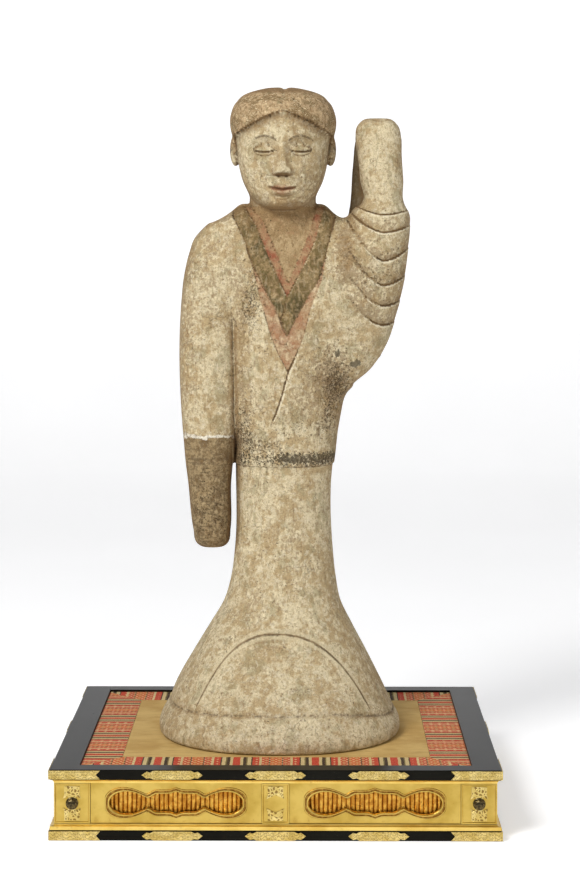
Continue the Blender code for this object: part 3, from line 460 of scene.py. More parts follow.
def pottery():
    """Grey-buff clay under flaking slip and paint, stained by earth, with painted shade in its
    hollows, creases and turned sides and painted highlights on its ridges and rims.
    """
    cream = tone(222, 207, 170)
    buff = tone(186, 163, 122)
    earth_and_shade = tone(134, 104, 66)
    dark_earth_and_shade = tone(84, 66, 44)
    p = Paint("aged_painted_pottery", 0.88, specular=0.25)
    clouds = p.noise(30.0, detail=3.0)
    blotches = p.noise(8.0, detail=8.0, roughness=0.70)
    patches = p.noise(13.0, detail=6.0, roughness=0.62, stretch=(1.0, 1.0, 0.6), distortion=0.6)
    flakes = p.noise(3.0, detail=7.0, roughness=0.72)
    streaks = p.noise(2.2, detail=4.0, stretch=(1.0, 1.0, 0.22))
    grain = p.noise(0.9, detail=3.0, roughness=0.7)

    light = p.add(p.times(clouds, 0.3), p.times(blotches, 0.7), p.times(p.attribute("pale"), 0.07))
    colour = p.blend(p.between(light, 0.45, 0.55), buff, cream)
    grime = p.between(p.noise(3.2, detail=8.0, roughness=0.76, distortion=0.5), 0.54, 0.63)
    colour = p.coat(colour, grime, 0.52, tone(142, 120, 82))
    mossy = p.times(p.between(patches, 0.52, 0.62), 0.45)
    colour = p.blend(mossy, colour, tone(150, 140, 104))
    chalk = p.between(p.noise(4.2, detail=8.0, roughness=0.74, distortion=0.4), 0.52, 0.62)
    colour = p.coat(colour, chalk, 0.60, tone(230, 218, 188))

    # Hair
    hair = p.between(p.ragged(p.attribute("hair"), flakes, 1.2), -0.25, 0.25)
    hair_colour = p.blend(p.between(blotches, 0.42, 0.58), tone(142, 118, 82), tone(196, 168, 128))
    hair_colour = p.blend(p.between(patches, 0.56, 0.66), hair_colour, tone(134, 122, 84))
    scratches = p.noise(1.6, detail=2.0, stretch=(0.45, 1.0, 1.5), distortion=2.0)
    hair_colour = p.coat(hair_colour, p.between(streaks, 0.54, 0.64), 0.5, tone(112, 88, 54))
    hair_colour = p.coat(hair_colour, p.between(scratches, 0.58, 0.63), 0.90, tone(228, 210, 172))
    colour = p.blend(hair, colour, hair_colour)

    # Collar bands, the widest first
    wander = p.times(p.less(p.noise(4.0, detail=4.0), 0.5), 2.2)
    worn = p.between(flakes, 0.34, 0.56)
    red = p.blend(p.between(blotches, 0.34, 0.58), tone(158, 92, 66), tone(180, 146, 108))
    red = p.coat(red, p.between(streaks, 0.56, 0.66), 0.7, tone(108, 70, 46))
    green = p.blend(p.between(blotches, 0.42, 0.60), tone(110, 95, 58), tone(152, 130, 88))
    green = p.blend(p.between(patches, 0.52, 0.62), green, tone(86, 78, 48))
    green = p.coat(green, p.between(streaks, 0.54, 0.64), 0.6, tone(176, 166, 132))
    skin = p.blend(p.between(blotches, 0.40, 0.64), tone(158, 132, 92), tone(192, 168, 126))
    faded = p.blend(p.between(blotches, 0.40, 0.60), tone(168, 116, 84), tone(188, 154, 116))
    bands = (
        ("outer_v", faded, 0.8),
        ("wide_v", green, 1.0),
        ("inner_v", red, 1.0),
        ("skin_v", skin, 1.0),
    )
    for name, paint, strength in bands:
        inside = p.between(p.add(p.attribute(name), wander), -0.3, 0.5)
        share = p.times(inside, strength, p.add(0.55, p.times(worn, 0.45)))
        colour = p.blend(share, colour, paint)

    # Old break on the hanging sleeve, browner below it
    soil_mix = p.add(p.times(blotches, 0.5), p.times(flakes, 0.5))
    below = p.between(p.ragged(p.attribute("repair"), blotches, 3.0), 1.0, -1.0)
    lower_sleeve = p.blend(p.between(soil_mix, 0.44, 0.56), tone(164, 142, 104), tone(106, 84, 54))
    rings = p.noise(3.4, detail=4.0, stretch=(0.25, 0.25, 1.4))
    lower_sleeve = p.coat(lower_sleeve, p.between(rings, 0.54, 0.64), 0.6, tone(86, 66, 42))
    lower_sleeve = p.coat(lower_sleeve, chalk, 0.35, tone(186, 164, 122))
    colour = p.coat(colour, below, 0.92, lower_sleeve)
    seam = p.ragged(p.attribute("repair"), p.noise(7.0, detail=6.0), 9.0)
    beyond = p.less(p.math("ABSOLUTE", seam), p.times(p.noise(4.0, detail=5.0), 2.8))
    plaster = p.times(p.between(beyond, 0.2, -0.4), p.attribute("repair_width"))
    colour = p.blend(plaster, colour, tone(236, 228, 208))

    # Earth stains and specks, painted shade in the hollows and creases, painted highlights on ridges
    # and rims, and dark lines
    # Earth stains, together with painted shade on the sides turned from the front, above the sleeve's
    # folds and under the chin
    soil_and_shade = p.add(p.times(blotches, 0.4), p.times(flakes, 0.6), p.times(p.attribute("soil_and_shade"), 0.10))
    colour = p.coat(colour, p.between(soil_and_shade, 0.52, 0.62), 0.62, earth_and_shade)
    colour = p.coat(colour, p.between(streaks, 0.55, 0.68), 0.40, earth_and_shade)
    # The sleeve's end hanging behind the raised arm is darkened: painted shade
    colour = p.coat(colour, p.attribute("tail"), 0.65, tone(104, 84, 56))
    # Darker in the creases: painted shade
    crevice_shade = p.between(p.attribute("crevice_shade"), 0.06, 0.45)
    colour = p.coat(colour, crevice_shade, 0.85, tone(70, 54, 36))
    # Cream on the ridges: painted highlight
    ridge_highlight = p.between(p.attribute("crevice_shade"), -0.10, -0.45)
    colour = p.coat(colour, ridge_highlight, 0.55, cream)
    # Earth colour laid into the deeper hollows: painted shade
    hollow = p.between(p.attribute("hollow"), 0.05, 0.60)
    colour = p.coat(colour, hollow, 0.62, earth_and_shade)
    ragged = p.times(p.less(p.noise(2.6, detail=5.0), 0.5), 2.4)
    # Pale strips on the proud side of the fold ledges and the robe's edge: painted highlight
    rim = p.between(p.add(p.attribute("rim_highlights"), ragged), 1.0, 0.2)
    colour = p.coat(colour, rim, 0.90, tone(236, 224, 192))
    # Dark lines on the sunk side of the carved steps, folds, hairline and arm crease: painted shadow
    line = p.between(p.add(p.attribute("lines"), ragged), 0.75, 0.15)
    colour = p.coat(colour, line, 0.72, dark_earth_and_shade)
    broken = p.between(p.noise(9.0, detail=5.0), 0.42, 0.54)
    faint = p.times(p.between(p.add(p.attribute("faint_lines"), ragged), 0.9, 0.2), broken)
    colour = p.coat(colour, faint, 0.62, dark_earth_and_shade)
    worn_paint = p.between(flakes, 0.36, 0.52)
    strokes = p.times(p.between(p.attribute("strokes"), 1.25, 0.5), worn_paint)
    colour = p.coat(colour, strokes, 0.68, dark_earth_and_shade)
    lips = p.times(p.between(p.attribute("lips"), -0.2, 0.6), worn_paint)
    colour = p.coat(colour, lips, 0.40, tone(168, 104, 80))
    speck_noise = p.noise(1.5, detail=5.0, roughness=0.75, distortion=0.8)
    specks = p.between(p.add(speck_noise, p.times(p.attribute("specks"), 0.14)), 0.60, 0.66)
    colour = p.coat(colour, specks, 0.82, tone(58, 46, 32))
    in_belt = p.ragged(p.ragged(p.attribute("belt"), flakes, 1.2), speck_noise, 4.0)
    belt = p.times(p.between(in_belt, 0.55, 0.85), p.between(p.attribute("belt"), 0.05, 0.3))
    colour = p.coat(colour, belt, 0.85, tone(66, 57, 42))
    chips = p.between(p.ragged(p.attribute("chips"), flakes, 1.5), 0.40, 0.60)
    colour = p.coat(colour, chips, 0.8, tone(92, 84, 66))
    cracks = p.between(p.cells(13.0, "DISTANCE_TO_EDGE", p.warped(9.0, 5.0)), 0.030, 0.008)
    cracks = p.times(cracks, p.between(p.noise(24.0, detail=6.0), 0.54, 0.64))
    colour = p.coat(colour, cracks, 0.45, dark_earth_and_shade)
    scuffs = p.between(p.noise(1.9, detail=5.0, roughness=0.7, distortion=1.4), 0.66, 0.72)
    colour = p.coat(colour, scuffs, 0.55, tone(232, 220, 190))
    grains = p.times(p.between(grain, 0.35, 0.65), 0.24)
    colour = p.blend(grains, colour, tone(120, 98, 68), "MULTIPLY")

    height = p.add(
        p.times(blotches, 0.35),
        p.times(p.between(flakes, 0.46, 0.54), 0.16),
        p.times(grain, 0.14),
        p.times(p.less(1.0, specks), 0.10),
        p.times(p.less(1.0, cracks), 0.18),
        p.times(plaster, 0.20),
        p.times(chalk, 0.12),
        p.times(p.less(1.0, line), 0.30),
        p.times(p.less(1.0, faint), 0.20),
        p.times(scratches, 0.15),
    )
    return p.finish(colour, height)


def gold_leaf(name, dull, bright):
    """Gold leaf on lacquer: warm, a little uneven, browner where it is rubbed."""
    p = Paint(name, 0.34, metallic=1.0)
    clouds = p.noise(22.0, detail=4.0)
    rubbed = p.noise(5.0, detail=6.0, roughness=0.65)
    colour = p.blend(p.between(clouds, 0.35, 0.65), dull, bright)
    colour = p.coat(colour, p.between(rubbed, 0.60, 0.74), 0.40, tone(156, 104, 50))
    roughness = p.add(0.28, p.times(rubbed, 0.16))
    height = p.add(p.times(clouds, 0.10), p.times(p.noise(1.2, detail=3.0), 0.02))
    return p.finish(colour, height, roughness)


def shaded_groove_gold():
    """The grooves and inner slopes of the gilt mouldings, in darker gold: painted shade."""
    p = Paint("shaded_groove_gold", 0.42, metallic=1.0)
    rubbed = p.noise(2.4, detail=5.0)
    colour = p.blend(p.between(rubbed, 0.44, 0.62), tone(142, 100, 42), tone(186, 146, 70))
    return p.finish(colour, p.times(rubbed, 0.05), p.add(0.34, p.times(rubbed, 0.2)))


def ribbed_gold():
    """The gilt ribs behind the openings: deeper and redder than the panels."""
    p = Paint("ribbed_gold", 0.36, metallic=1.0)
    lengthwise = p.noise(1.3, detail=4.0, stretch=(1.0, 1.0, 0.2))
    blotches = p.noise(4.0, detail=5.0)
    colour = p.blend(p.between(blotches, 0.40, 0.62), tone(186, 128, 46), tone(224, 176, 80))
    colour = p.coat(colour, p.between(lengthwise, 0.56, 0.70), 0.7, tone(122, 62, 22))
    height = p.times(lengthwise, 0.06)
    return p.finish(colour, height, p.add(0.30, p.times(blotches, 0.15)))


def engraved_gilt():
    """Pale gilt copper, with a running scroll cut between punched dots."""
    p = Paint("engraved_gilt", 0.30, metallic=1.0)
    along = p.add(p.axis(0), p.axis(1))
    up = p.axis(2)
    wave = p.math("SINE", p.times(along, 1.25))
    scroll = p.math("ABSOLUTE", p.math("SINE", p.times(p.add(up, p.times(wave, 0.9)), 1.25)))
    cut = p.between(scroll, 0.30, 0.14)
    dots = p.between(p.cells(1.1, randomness=0.35), 0.38, 0.24)
    leaves = p.between(p.cells(2.6, "SMOOTH_F1", p.warped(1.2, 3.0)), 0.32, 0.40)
    scrolls = p.times(cut, p.less(1.0, p.times(leaves, 0.6)))
    engraving = p.math("MAXIMUM", scrolls, p.times(dots, leaves), clamp=True)
    return gilt_over(p, engraving)


def openwork_gilt():
    """Gilt plates pierced into tendrils, over a darker dotted ground."""
    p = Paint("openwork_gilt", 0.30, metallic=1.0)
    tendrils = p.between(p.cells(2.4, "DISTANCE_TO_EDGE", p.warped(1.6, 2.4)), 0.24, 0.15)
    return gilt_over(p, p.less(1.0, tendrils))


def gilt_over(p, engraving):
    tarnish = p.noise(7.0, detail=5.0)
    colour = p.blend(p.between(tarnish, 0.38, 0.64), tone(208, 182, 104), tone(230, 208, 136))
    colour = p.coat(colour, engraving, 0.78, tone(112, 78, 32))
    height = p.times(p.less(1.0, engraving), 0.20)
    return p.finish(colour, height, p.add(0.24, p.times(tarnish, 0.14)))


def black_lacquer():
    """Deep black lacquer with a polished coat and a breath of dust."""
    p = Paint("black_lacquer", 0.30, specular=0.08)
    haze = p.noise(26.0, detail=4.0)
    dust = p.noise(0.9, detail=2.0)
    colour = p.blend(p.between(haze, 0.35, 0.7), tone(12, 11, 8), tone(20, 19, 15))
    colour = p.coat(colour, p.between(dust, 0.70, 0.76), 0.25, tone(120, 112, 96))
    roughness = p.add(0.26, p.times(haze, 0.05))
    p.shader.inputs["Specular Tint"].default_value = (1.0, 0.96, 0.84, 1.0)
    return p.finish(colour, p.times(dust, 0.004), roughness)


def knob_metal():
    """Dark patinated copper."""
    p = Paint("dark_knob", 0.30, metallic=1.0)
    patina = p.noise(1.6, detail=4.0)
    colour = p.blend(p.between(patina, 0.38, 0.66), tone(58, 50, 36), tone(112, 98, 66))
    return p.finish(colour, p.times(patina, 0.05), p.add(0.22, p.times(patina, 0.2)))


def straw_weave():
    """The mat's plain field: fine straw-coloured threads, crossed one over, one under."""
    p = Paint("straw_weave", 0.85, specular=0.2)
    thread = 1.05
    across = p.math("SINE", p.times(p.axis(0), 2 * math.pi / thread))
    along = p.math("SINE", p.times(p.axis(1), 2 * math.pi / (thread * 1.6)))
    weave = p.times(across, along)
    slubs = p.noise(2.2, detail=4.0, stretch=(0.12, 1.0, 1.0))
    fading = p.noise(40.0, detail=4.0)
    colour = p.blend(p.between(fading, 0.35, 0.65), tone(184, 148, 84), tone(204, 172, 108))
    colour = p.coat(colour, p.between(slubs, 0.50, 0.70), 0.5, tone(158, 122, 66))
    colour = p.coat(colour, p.between(weave, 0.1, 0.9), 0.25, tone(222, 194, 136))
    return p.finish(colour, p.add(p.times(weave, 0.12), p.times(slubs, 0.12)))


def striped_brocade(field_half_x, field_half_y):
    """Bands across each strip of the border: red and orange figures, cream, dark lines."""
    p = Paint("striped_brocade", 0.78, specular=0.25)
    period = 58.0
    red = tone(196, 66, 46)
    orange = tone(206, 92, 44)
    cream = tone(208, 186, 132)
    dark = tone(44, 32, 24)
    olive = tone(112, 100, 58)
    bands = (
        (orange, 4.3),
        (dark, 0.8),
        (red, 5.4),
        (cream, 1.8),
        (red, 5.0),
        (dark, 0.9),
        (cream, 2.7),
        (olive, 1.0),
        (dark, 2.2),
        (cream, 2.1),
        (red, 2.8),
    )
    x = p.axis(0)
    y = p.axis(1)
    outside_x = p.less(p.math("ABSOLUTE", x), field_half_x)
    outside_y = p.less(p.math("ABSOLUTE", y), field_half_y)
    on_side = p.math("GREATER_THAN", outside_x, outside_y)
    run = p.add(p.times(y, on_side), p.times(x, p.less(1.0, on_side)))
    reach = p.add(p.times(outside_x, on_side), p.times(outside_y, p.less(1.0, on_side)))
    run = p.ragged(run, p.noise(6.0, detail=2.0), 1.0)
    folded = p.math("PINGPONG", run, period / 2)
    ramp = p.node("ShaderNodeValToRGB")
    ramp.color_ramp.interpolation = "CONSTANT"
    total = sum(width for _, width in bands)
    edge = 0.0
    for i, (colour, width) in enumerate(bands):
        stop = ramp.color_ramp.elements[0] if i == 0 else ramp.color_ramp.elements.new(edge / total)
        stop.position = edge / total
        stop.color = (*colour, 1.0)
        edge += width
    ramp.color_ramp.elements.remove(ramp.color_ramp.elements[-1])
    p.feed(ramp.inputs[0], p.times(folded, 2 / period))
    colour = ramp.outputs[0]
    lozenge = p.add(
        p.math("PINGPONG", p.times(run, 0.42), 1.0),
        p.math("PINGPONG", p.times(reach, 0.30), 1.0),
    )
    figure = p.times(p.between(lozenge, 1.15, 1.30), p.between(folded, 12.0, 10.0))
    colour = p.coat(colour, figure, 0.6, tone(208, 180, 118))
    heart = p.times(p.between(lozenge, 0.55, 0.40), p.between(folded, 16.0, 15.0))
    colour = p.coat(colour, heart, 0.75, tone(232, 206, 150))
    threads = p.noise(0.7, detail=3.0)
    colour = p.coat(colour, p.between(threads, 0.52, 0.66), 0.3, tone(222, 186, 128))
    colour = p.coat(colour, p.between(threads, 0.46, 0.34), 0.5, tone(110, 36, 26))
    ribs = p.math("SINE", p.times(p.add(x, y), 2 * math.pi / 0.9))
    return p.finish(colour, p.add(p.times(ribs, 0.08), p.times(threads, 0.15)))


# The dancer's form, as a field that is zero on the skin and negative inside
def through(knots, values, at):
    """A smooth curve through the values at the knots."""
    knots = np.asarray(knots, dtype=float)
    values = np.asarray(values, dtype=float)
    slopes = np.gradient(values, knots)
    at = np.clip(at, knots[0], knots[-1])
    i = np.clip(np.searchsorted(knots, at) - 1, 0, len(knots) - 2)
    span = knots[i + 1] - knots[i]
    t = (at - knots[i]) / span
    start = (2 * t**3 - 3 * t**2 + 1) * values[i] + (t**3 - 2 * t**2 + t) * span * slopes[i]
    end = (3 * t**2 - 2 * t**3) * values[i + 1] + (t**3 - t**2) * span * slopes[i + 1]
    return start + end


def step(value, low, high):
    """Rises smoothly from 0 at low to 1 at high."""
    t = np.clip((value - low) / (high - low), 0.0, 1.0)
    return t * t * (3 - 2 * t)


def melt(a, b, width):
    """The union of two fields, with their corner filled over the width."""
    share = np.maximum(width - np.abs(a - b), 0.0) / width
    return np.minimum(a, b) - share * share * width / 4


def limb(points, sections):
    """Distance to an upright limb that passes through the oval sections."""
    table = np.array(sections)
    x, y, z = points.T
    centre_x, centre_y, half_x, half_y = (through(table[:, 0], table[:, i], z) for i in range(1, 5))
    across = np.abs(x - centre_x) / half_x
    along = np.abs(y - centre_y) / half_y
    scale = (across**OVAL_POWER + along**OVAL_POWER) ** (1 / OVAL_POWER)
    reach = np.hypot(x - centre_x, y - centre_y)
    side = reach * (1 - 1 / np.maximum(scale, 1e-4))
    end = np.maximum(table[0, 0] - z, z - table[-1, 0])
    return -melt(-side, -end, END_ROUNDING)


def ellipsoid(points, centre, radii):
    offset = (points - np.array(centre)) / np.array(radii)
    return (np.linalg.norm(offset, axis=1) - 1) * min(radii)


def edge_at(edge, z):
    """The x of an edge given as (height, x) points, at each height."""
    heights = [point[0] for point in reversed(edge)]
    places = [point[1] for point in reversed(edge)]
    return np.interp(z, heights, places)


def inside_edges(x, z, edges):
    """How far a point lies between a left and a right edge."""
    left, right = edges
    return np.minimum(x - edge_at(left, z), edge_at(right, z) - x)


def between_edges(x, z, edges, softness):
    left, right = edges
    right_of_left = step(x - edge_at(left, z), -softness, softness)
    left_of_right = step(edge_at(right, z) - x, -softness, softness)
    return right_of_left * left_of_right


def skirt_band_height(x):
    """The hem's incised line: it sinks a little towards both ends."""
    right_fall = 9 * (np.maximum(x - 42, 0) / 44) ** 1.3
    left_fall = 2.5 * np.maximum(-x - 20, 0) / 58
    return SKIRT_BAND_HEIGHT - right_fall - left_fall


def arch_height(x):
    """The arched edge of the skirt's front fold."""
    side = x - ARCH_TOP[0]
    return ARCH_TOP[1] - np.where(side > 0, 0.0020, 0.0029) * np.abs(side) ** 2.4


def collar_roll(x, z):
    """The rounded form of the two wide collar bands. The right one laps over the left one."""
    lap = edge_at(COLLAR_OVERLAP, z)
    wide_left = edge_at(WIDE_COLLAR_EDGES[0], z)
    wide_right = edge_at(WIDE_COLLAR_EDGES[1], z)
    inner_left = np.minimum(edge_at(INNER_COLLAR_EDGES[0], z), lap)
    roll = np.zeros(len(x))
    for left, right in ((wide_left, inner_left), (lap, wide_right)):
        share = np.clip((x - left) / np.maximum(right - left, 0.5), 0.0, 1.0)
        roll = np.maximum(roll, (4 * share * (1 - share)) ** 0.7)
    return roll * step(z, 309, 314)


def dress_relief(points, softness):
    """How far the carved dress stands proud of the smooth form."""
    x, y, z = points.T
    front = step(-y, 4.0, 10.0)
    relief = np.zeros(len(points))
    for edges, depth in COLLAR_LAYERS:
        lowest = min(edges[0][-1][0], edges[1][-1][0])
        here = front * step(z, lowest, lowest + 4) * (1 - step(z, COLLAR_TOP, COLLAR_TOP + 2))
        relief -= depth * here * between_edges(x, z, edges, softness)
    below_top = 1 - step(z, COLLAR_TOP - 8, COLLAR_TOP - 2)
    relief += COLLAR_ROLL_RISE * front * collar_roll(x, z) * below_top
    lapped = step(x - edge_at(ROBE_EDGE, z), -softness, softness)
    fading = step(z, *ROBE_EDGE_END) * (1 - step(z, *ROBE_EDGE_START)) * (1 - step(x, 14, 26))
    relief += ROBE_EDGE_STEP * front * lapped * fading
    on_body = step(x, -36.0, -34.0)
    jacket = step(z, JACKET_HEM_HEIGHT - softness, JACKET_HEM_HEIGHT + softness)
    jacket *= 1 - step(z, JACKET_HEM_HEIGHT + 3, JACKET_HEM_HEIGHT + 30)
    relief += JACKET_STEP * on_body * jacket
    band = skirt_band_height(x)
    relief -= SKIRT_BAND_GROOVE * np.exp(-(((z - band) / (1.2 + softness / 2)) ** 2))
    below = arch_height(x) - z
    on_front = step(-y, 15.0, 30.0)
    lip = np.exp(-np.maximum(below, 0) / 14) * step(below, -softness, softness)
    hollow = np.exp(np.minimum(below, 0) / 9) * (1 - step(below, -softness, softness))
    above_band = step(z - band, 2.0, 12.0)
    relief += ARCH_RISE * on_front * above_band * (lip - 0.5 * hollow)
    return relief


def fold_lines(x):
    """The heights of the gathered sleeve's ledges."""
    side = (x - FOLD_LOW_X) / 20
    for low, left_rise, right_rise in zip(FOLD_LOW_HEIGHTS, FOLD_LEFT_RISES, FOLD_RIGHT_RISES):
        yield low + np.where(side < 0, left_rise, right_rise) * np.abs(side) ** 1.7


def fold_relief(points, softness):
    """Ledges of the gathered sleeve, each one wider than the one above it."""
    x, y, z = points.T
    relief = np.zeros(len(points))
    table = np.array(RAISED_SLEEVE_SECTIONS)
    outline = through(table[:, 0], table[:, 1] + table[:, 3], z)
    here = step(x, 50.0, 64.0) * (1 - step(y, 2.0, 14.0))
    here *= 1 - 0.75 * step(x, outline - 9, outline - 1)
    for line in fold_lines(x):
        above = z - line
        ledge = 0.5 * np.exp(np.minimum(above, 0) / 7) * (1 - step(above, -softness, softness))
        hollow = 0.7 * np.exp(-np.maximum(above, 0) / 6) * step(above, -softness, softness)
        relief += FOLD_DEPTH * here * (ledge - hollow)
    return relief


def mouth_line(x):
    """Height of the line between the lips."""
    return MOUTH_HEIGHT + 0.9 * (x / 9.5) ** 2 - 0.5 * np.exp(-((x / 2.2) ** 2))


def brow_line(across):
    return EYE_HEIGHT + 10.8 - 2.4 * across**2


def lash_line(across):
    """Where the lowered upper lid meets the lower one."""
    return EYE_HEIGHT - 1.5 + 1.1 * across**2


def face_relief(points):
    """A calm, plain face with lowered lids."""
    x, y, z = points.T
    x = x - HEAD_CENTRE_X
    up = z - EYE_HEIGHT
    relief = np.zeros(len(points))
    for side in (-1, 1):
        across = (x - side * EYE_OFFSET) / EYE_HALF_WIDTH
        on_lids = np.exp(-((across / 1.02) ** 8))
        relief -= 3.6 * np.exp(-((across / 1.35) ** 2) - ((up - 2.0) / 6.5) ** 2)
        relief += 3.0 * np.clip(1 - (across / 1.1) ** 2 - ((up - 0.3) / 4.8) ** 2, 0, 1) ** 0.8
        fold = up - 3.6 + 2.0 * across**2
        relief -= 0.6 * on_lids * np.exp(-((fold / 0.7) ** 2))
        relief -= 1.3 * on_lids * np.exp(-(((z - lash_line(across)) / 0.65) ** 2))
        brow = z - brow_line(across)
        relief += 1.1 * np.exp(-((brow / 2.0) ** 2) - (across / 1.4) ** 4)
        relief += 0.9 * np.exp(-(((x - side * 19) / 12) ** 2) - ((z - CHEEK_HEIGHT) / 11) ** 2)
        above = z - NOSE_BASE_HEIGHT
        relief += 2.5 * np.exp(-(((x - side * 5.7) / 2.3) ** 2) - ((above - 3.2) / 2.7) ** 2)
        relief -= 2.0 * np.exp(-(((x - side * 3.0) / 1.3) ** 2) - (above - 0.2) ** 2)
    along = np.clip((EYE_HEIGHT + 7 - z) / (EYE_HEIGHT + 7 - NOSE_BASE_HEIGHT), 0.0, 1.0)
    nose = (2.2 + 6.6 * along**1.3) * np.exp(-((x / (2.7 + 2.3 * along)) ** 2))
    nose *= step(z, NOSE_BASE_HEIGHT - 0.6, NOSE_BASE_HEIGHT + 2.2)
    nose *= 1 - step(z, EYE_HEIGHT + 4, EYE_HEIGHT + 15)
    relief += nose
    lip = z - mouth_line(x)
    wide = np.exp(-((x / 9.3) ** 4))
    relief += 2.0 * wide * np.exp(-(((lip - 1.8) / 1.7) ** 2))
    relief += 2.5 * np.exp(-((x / 7.6) ** 4) - ((lip + 2.3) / 2.0) ** 2)
    relief -= 1.7 * wide * np.exp(-((lip / 0.75) ** 2))
    relief -= 0.9 * np.exp(-(((np.abs(x) - 9.6) / 1.8) ** 2) - (lip / 1.8) ** 2)
    relief -= 1.3 * np.exp(-((x / 8.0) ** 4) - ((lip + 6.4) / 1.9) ** 2)
    relief -= 0.7 * np.exp(-((x / 1.4) ** 2) - ((lip - 6.2) / 2.4) ** 2)
    relief += 2.0 * np.exp(-((x / 9.5) ** 2) - ((z - 410.5) / 4.0) ** 2)
    return relief * step(-y, 14.0, 26.0)


def hairline_height(x, y):
    """Lower edge of the hair: a peak over the forehead, down past the temples to the nape."""
    fall = HAIRLINE_FALL * (np.abs(x - HEAD_CENTRE_X) / 36.0) ** 1.25
    front = HAIRLINE_PEAK - fall
    behind = step(y, -14.0, 16.0)
    return front * (1 - behind) + HAIRLINE_BACK * behind


def skull_and_hair(points):
    x, y, z = points.T
    skull = limb(points, HEAD_SECTIONS) - face_relief(points)
    hair = limb(points, HAIR_SECTIONS)
    hair = hair + PARTING_DEPTH * np.exp(-(((x - 5.5) / 2.2) ** 2)) * step(z, *PARTING_ENDS)
    return skull, np.maximum(hair, hairline_height(x, y) - z)


def head_field(points):
    skull, hair = skull_and_hair(points)
    head = melt(skull, hair, 0.8)
    for side in (-1, 1):
        centre = (HEAD_CENTRE_X + side * EAR_OFFSET, *EAR_CENTRE_YZ)
        hollow = (HEAD_CENTRE_X + side * EAR_OFFSET, *EAR_HOLLOW_YZ)
        outside_hollow = -ellipsoid(points, hollow, EAR_HOLLOW_RADII)
        ear = np.maximum(ellipsoid(points, centre, EAR_RADII), outside_hollow)
        head = melt(head, ear, 1.5)
    return head


def raised_sleeve(points, softness):
    sleeve = limb(points, RAISED_SLEEVE_SECTIONS) - fold_relief(points, softness)
    return melt(sleeve, limb(points, SLEEVE_TAIL_SECTIONS), TAIL_BLEND)


def figure_field(points, softness):
    """The whole dancer, with its relief."""
    z = points[:, 2]
    body = limb(points, BODY_SECTIONS)
    hanging = limb(points, HANGING_SLEEVE_SECTIONS)
    shoulder = ARM_CREASE_BLEND * (0.3 + 0.7 * step(z, SLIT_TOP, SLIT_TOP + 12))
    shoulder += (SHOULDER_BLEND - ARM_CREASE_BLEND) * step(z, 310.0, 372.0)
    dressed = melt(body, hanging, shoulder)
    raised = raised_sleeve(points, softness)
    bottom, filled_from, filled_to, top = SHOULDER_VALLEY_HEIGHTS
    in_valley = step(z, bottom, filled_from) * (1 - step(z, filled_to, top))
    dressed = melt(dressed, raised, RAISED_ARM_BLEND + SHOULDER_VALLEY_FILL * in_valley)
    dressed = dressed - dress_relief(points, softness)
    neck = melt(limb(points, NECK_SECTIONS), head_field(points), NECK_BLEND)
    return melt(dressed, neck, 1.5)


def narrowed_below_slit(sections):
    """The hanging sleeve, kept a little clear of the body where a slit parts them."""
    made = []
    for z, centre_x, centre_y, half_x, half_y in sections:
        margin = SLIT_MARGIN if z < SLIT_TOP else 0.0
        made.append((z, centre_x - margin / 2, centre_y, half_x - margin / 2, half_y))
    return made


def ring_between(bm, lower, upper):
    """Makes and returns the faces between two closed rings with the same number of points."""
    faces = []
    for i in range(len(lower)):
        j = (i + 1) % len(lower)
        faces.append(bm.faces.new((lower[i], lower[j], upper[j], upper[i])))
    return faces


def loft_into(bm, sections, sides=40):
    """A closed limb through its oval sections."""
    rings = []
    for z, centre_x, centre_y, half_x, half_y in sections:
        ring = []
        for i in range(sides):
            angle = 2 * math.pi * i / sides
            cosine = math.cos(angle)
            sine = math.sin(angle)
            x = centre_x + half_x * math.copysign(abs(cosine) ** (2 / OVAL_POWER), cosine)
            y = centre_y + half_y * math.copysign(abs(sine) ** (2 / OVAL_POWER), sine)
            ring.append(bm.verts.new((x, y, z)))
        rings.append(ring)
    for lower, upper in zip(rings, rings[1:]):
        ring_between(bm, lower, upper)
    bm.faces.new(rings[0])
    bm.faces.new(rings[-1])


def mesh_from(bm, name):
    mesh = bpy.data.meshes.new(name)
    bmesh.ops.recalc_face_normals(bm, faces=bm.faces)
    bm.to_mesh(mesh)
    bm.free()
    return mesh


def evaluated_mesh(mesh, kind, **settings):
    """The mesh with one modifier applied."""
    holder = bpy.data.objects.new("holder", mesh)
    bpy.context.scene.collection.objects.link(holder)
    modifier = holder.modifiers.new("change", kind)
    for name, value in settings.items():
        setattr(modifier, name, value)
    bpy.context.view_layer.update()
    made = bpy.data.meshes.new_from_object(holder.evaluated_get(bpy.context.evaluated_depsgraph_get()))
    bpy.data.objects.remove(holder)
    bpy.data.meshes.remove(mesh)
    return made


def joined_skin(spacing):
    """One even skin of quads around all the limbs together."""
    bm = bmesh.new()
    limbs = (BODY_SECTIONS, RAISED_SLEEVE_SECTIONS, SLEEVE_TAIL_SECTIONS, NECK_SECTIONS, HEAD_SECTIONS)
    limbs += (narrowed_below_slit(HANGING_SLEEVE_SECTIONS),)
    for sections in limbs:
        loft_into(bm, sections)
    loft_into(bm, [section for section in HAIR_SECTIONS if section[0] > EAR_CENTRE_YZ[1]])
    for side in (-1, 1):
        centre = Matrix.Translation((HEAD_CENTRE_X + side * EAR_OFFSET, *EAR_CENTRE_YZ))
        place = centre @ Matrix.Diagonal((*EAR_RADII, 1))
        bmesh.ops.create_uvsphere(bm, u_segments=16, v_segments=10, radius=1.0, matrix=place)
    return evaluated_mesh(mesh_from(bm, "lofts"), "REMESH", mode="VOXEL", voxel_size=spacing)


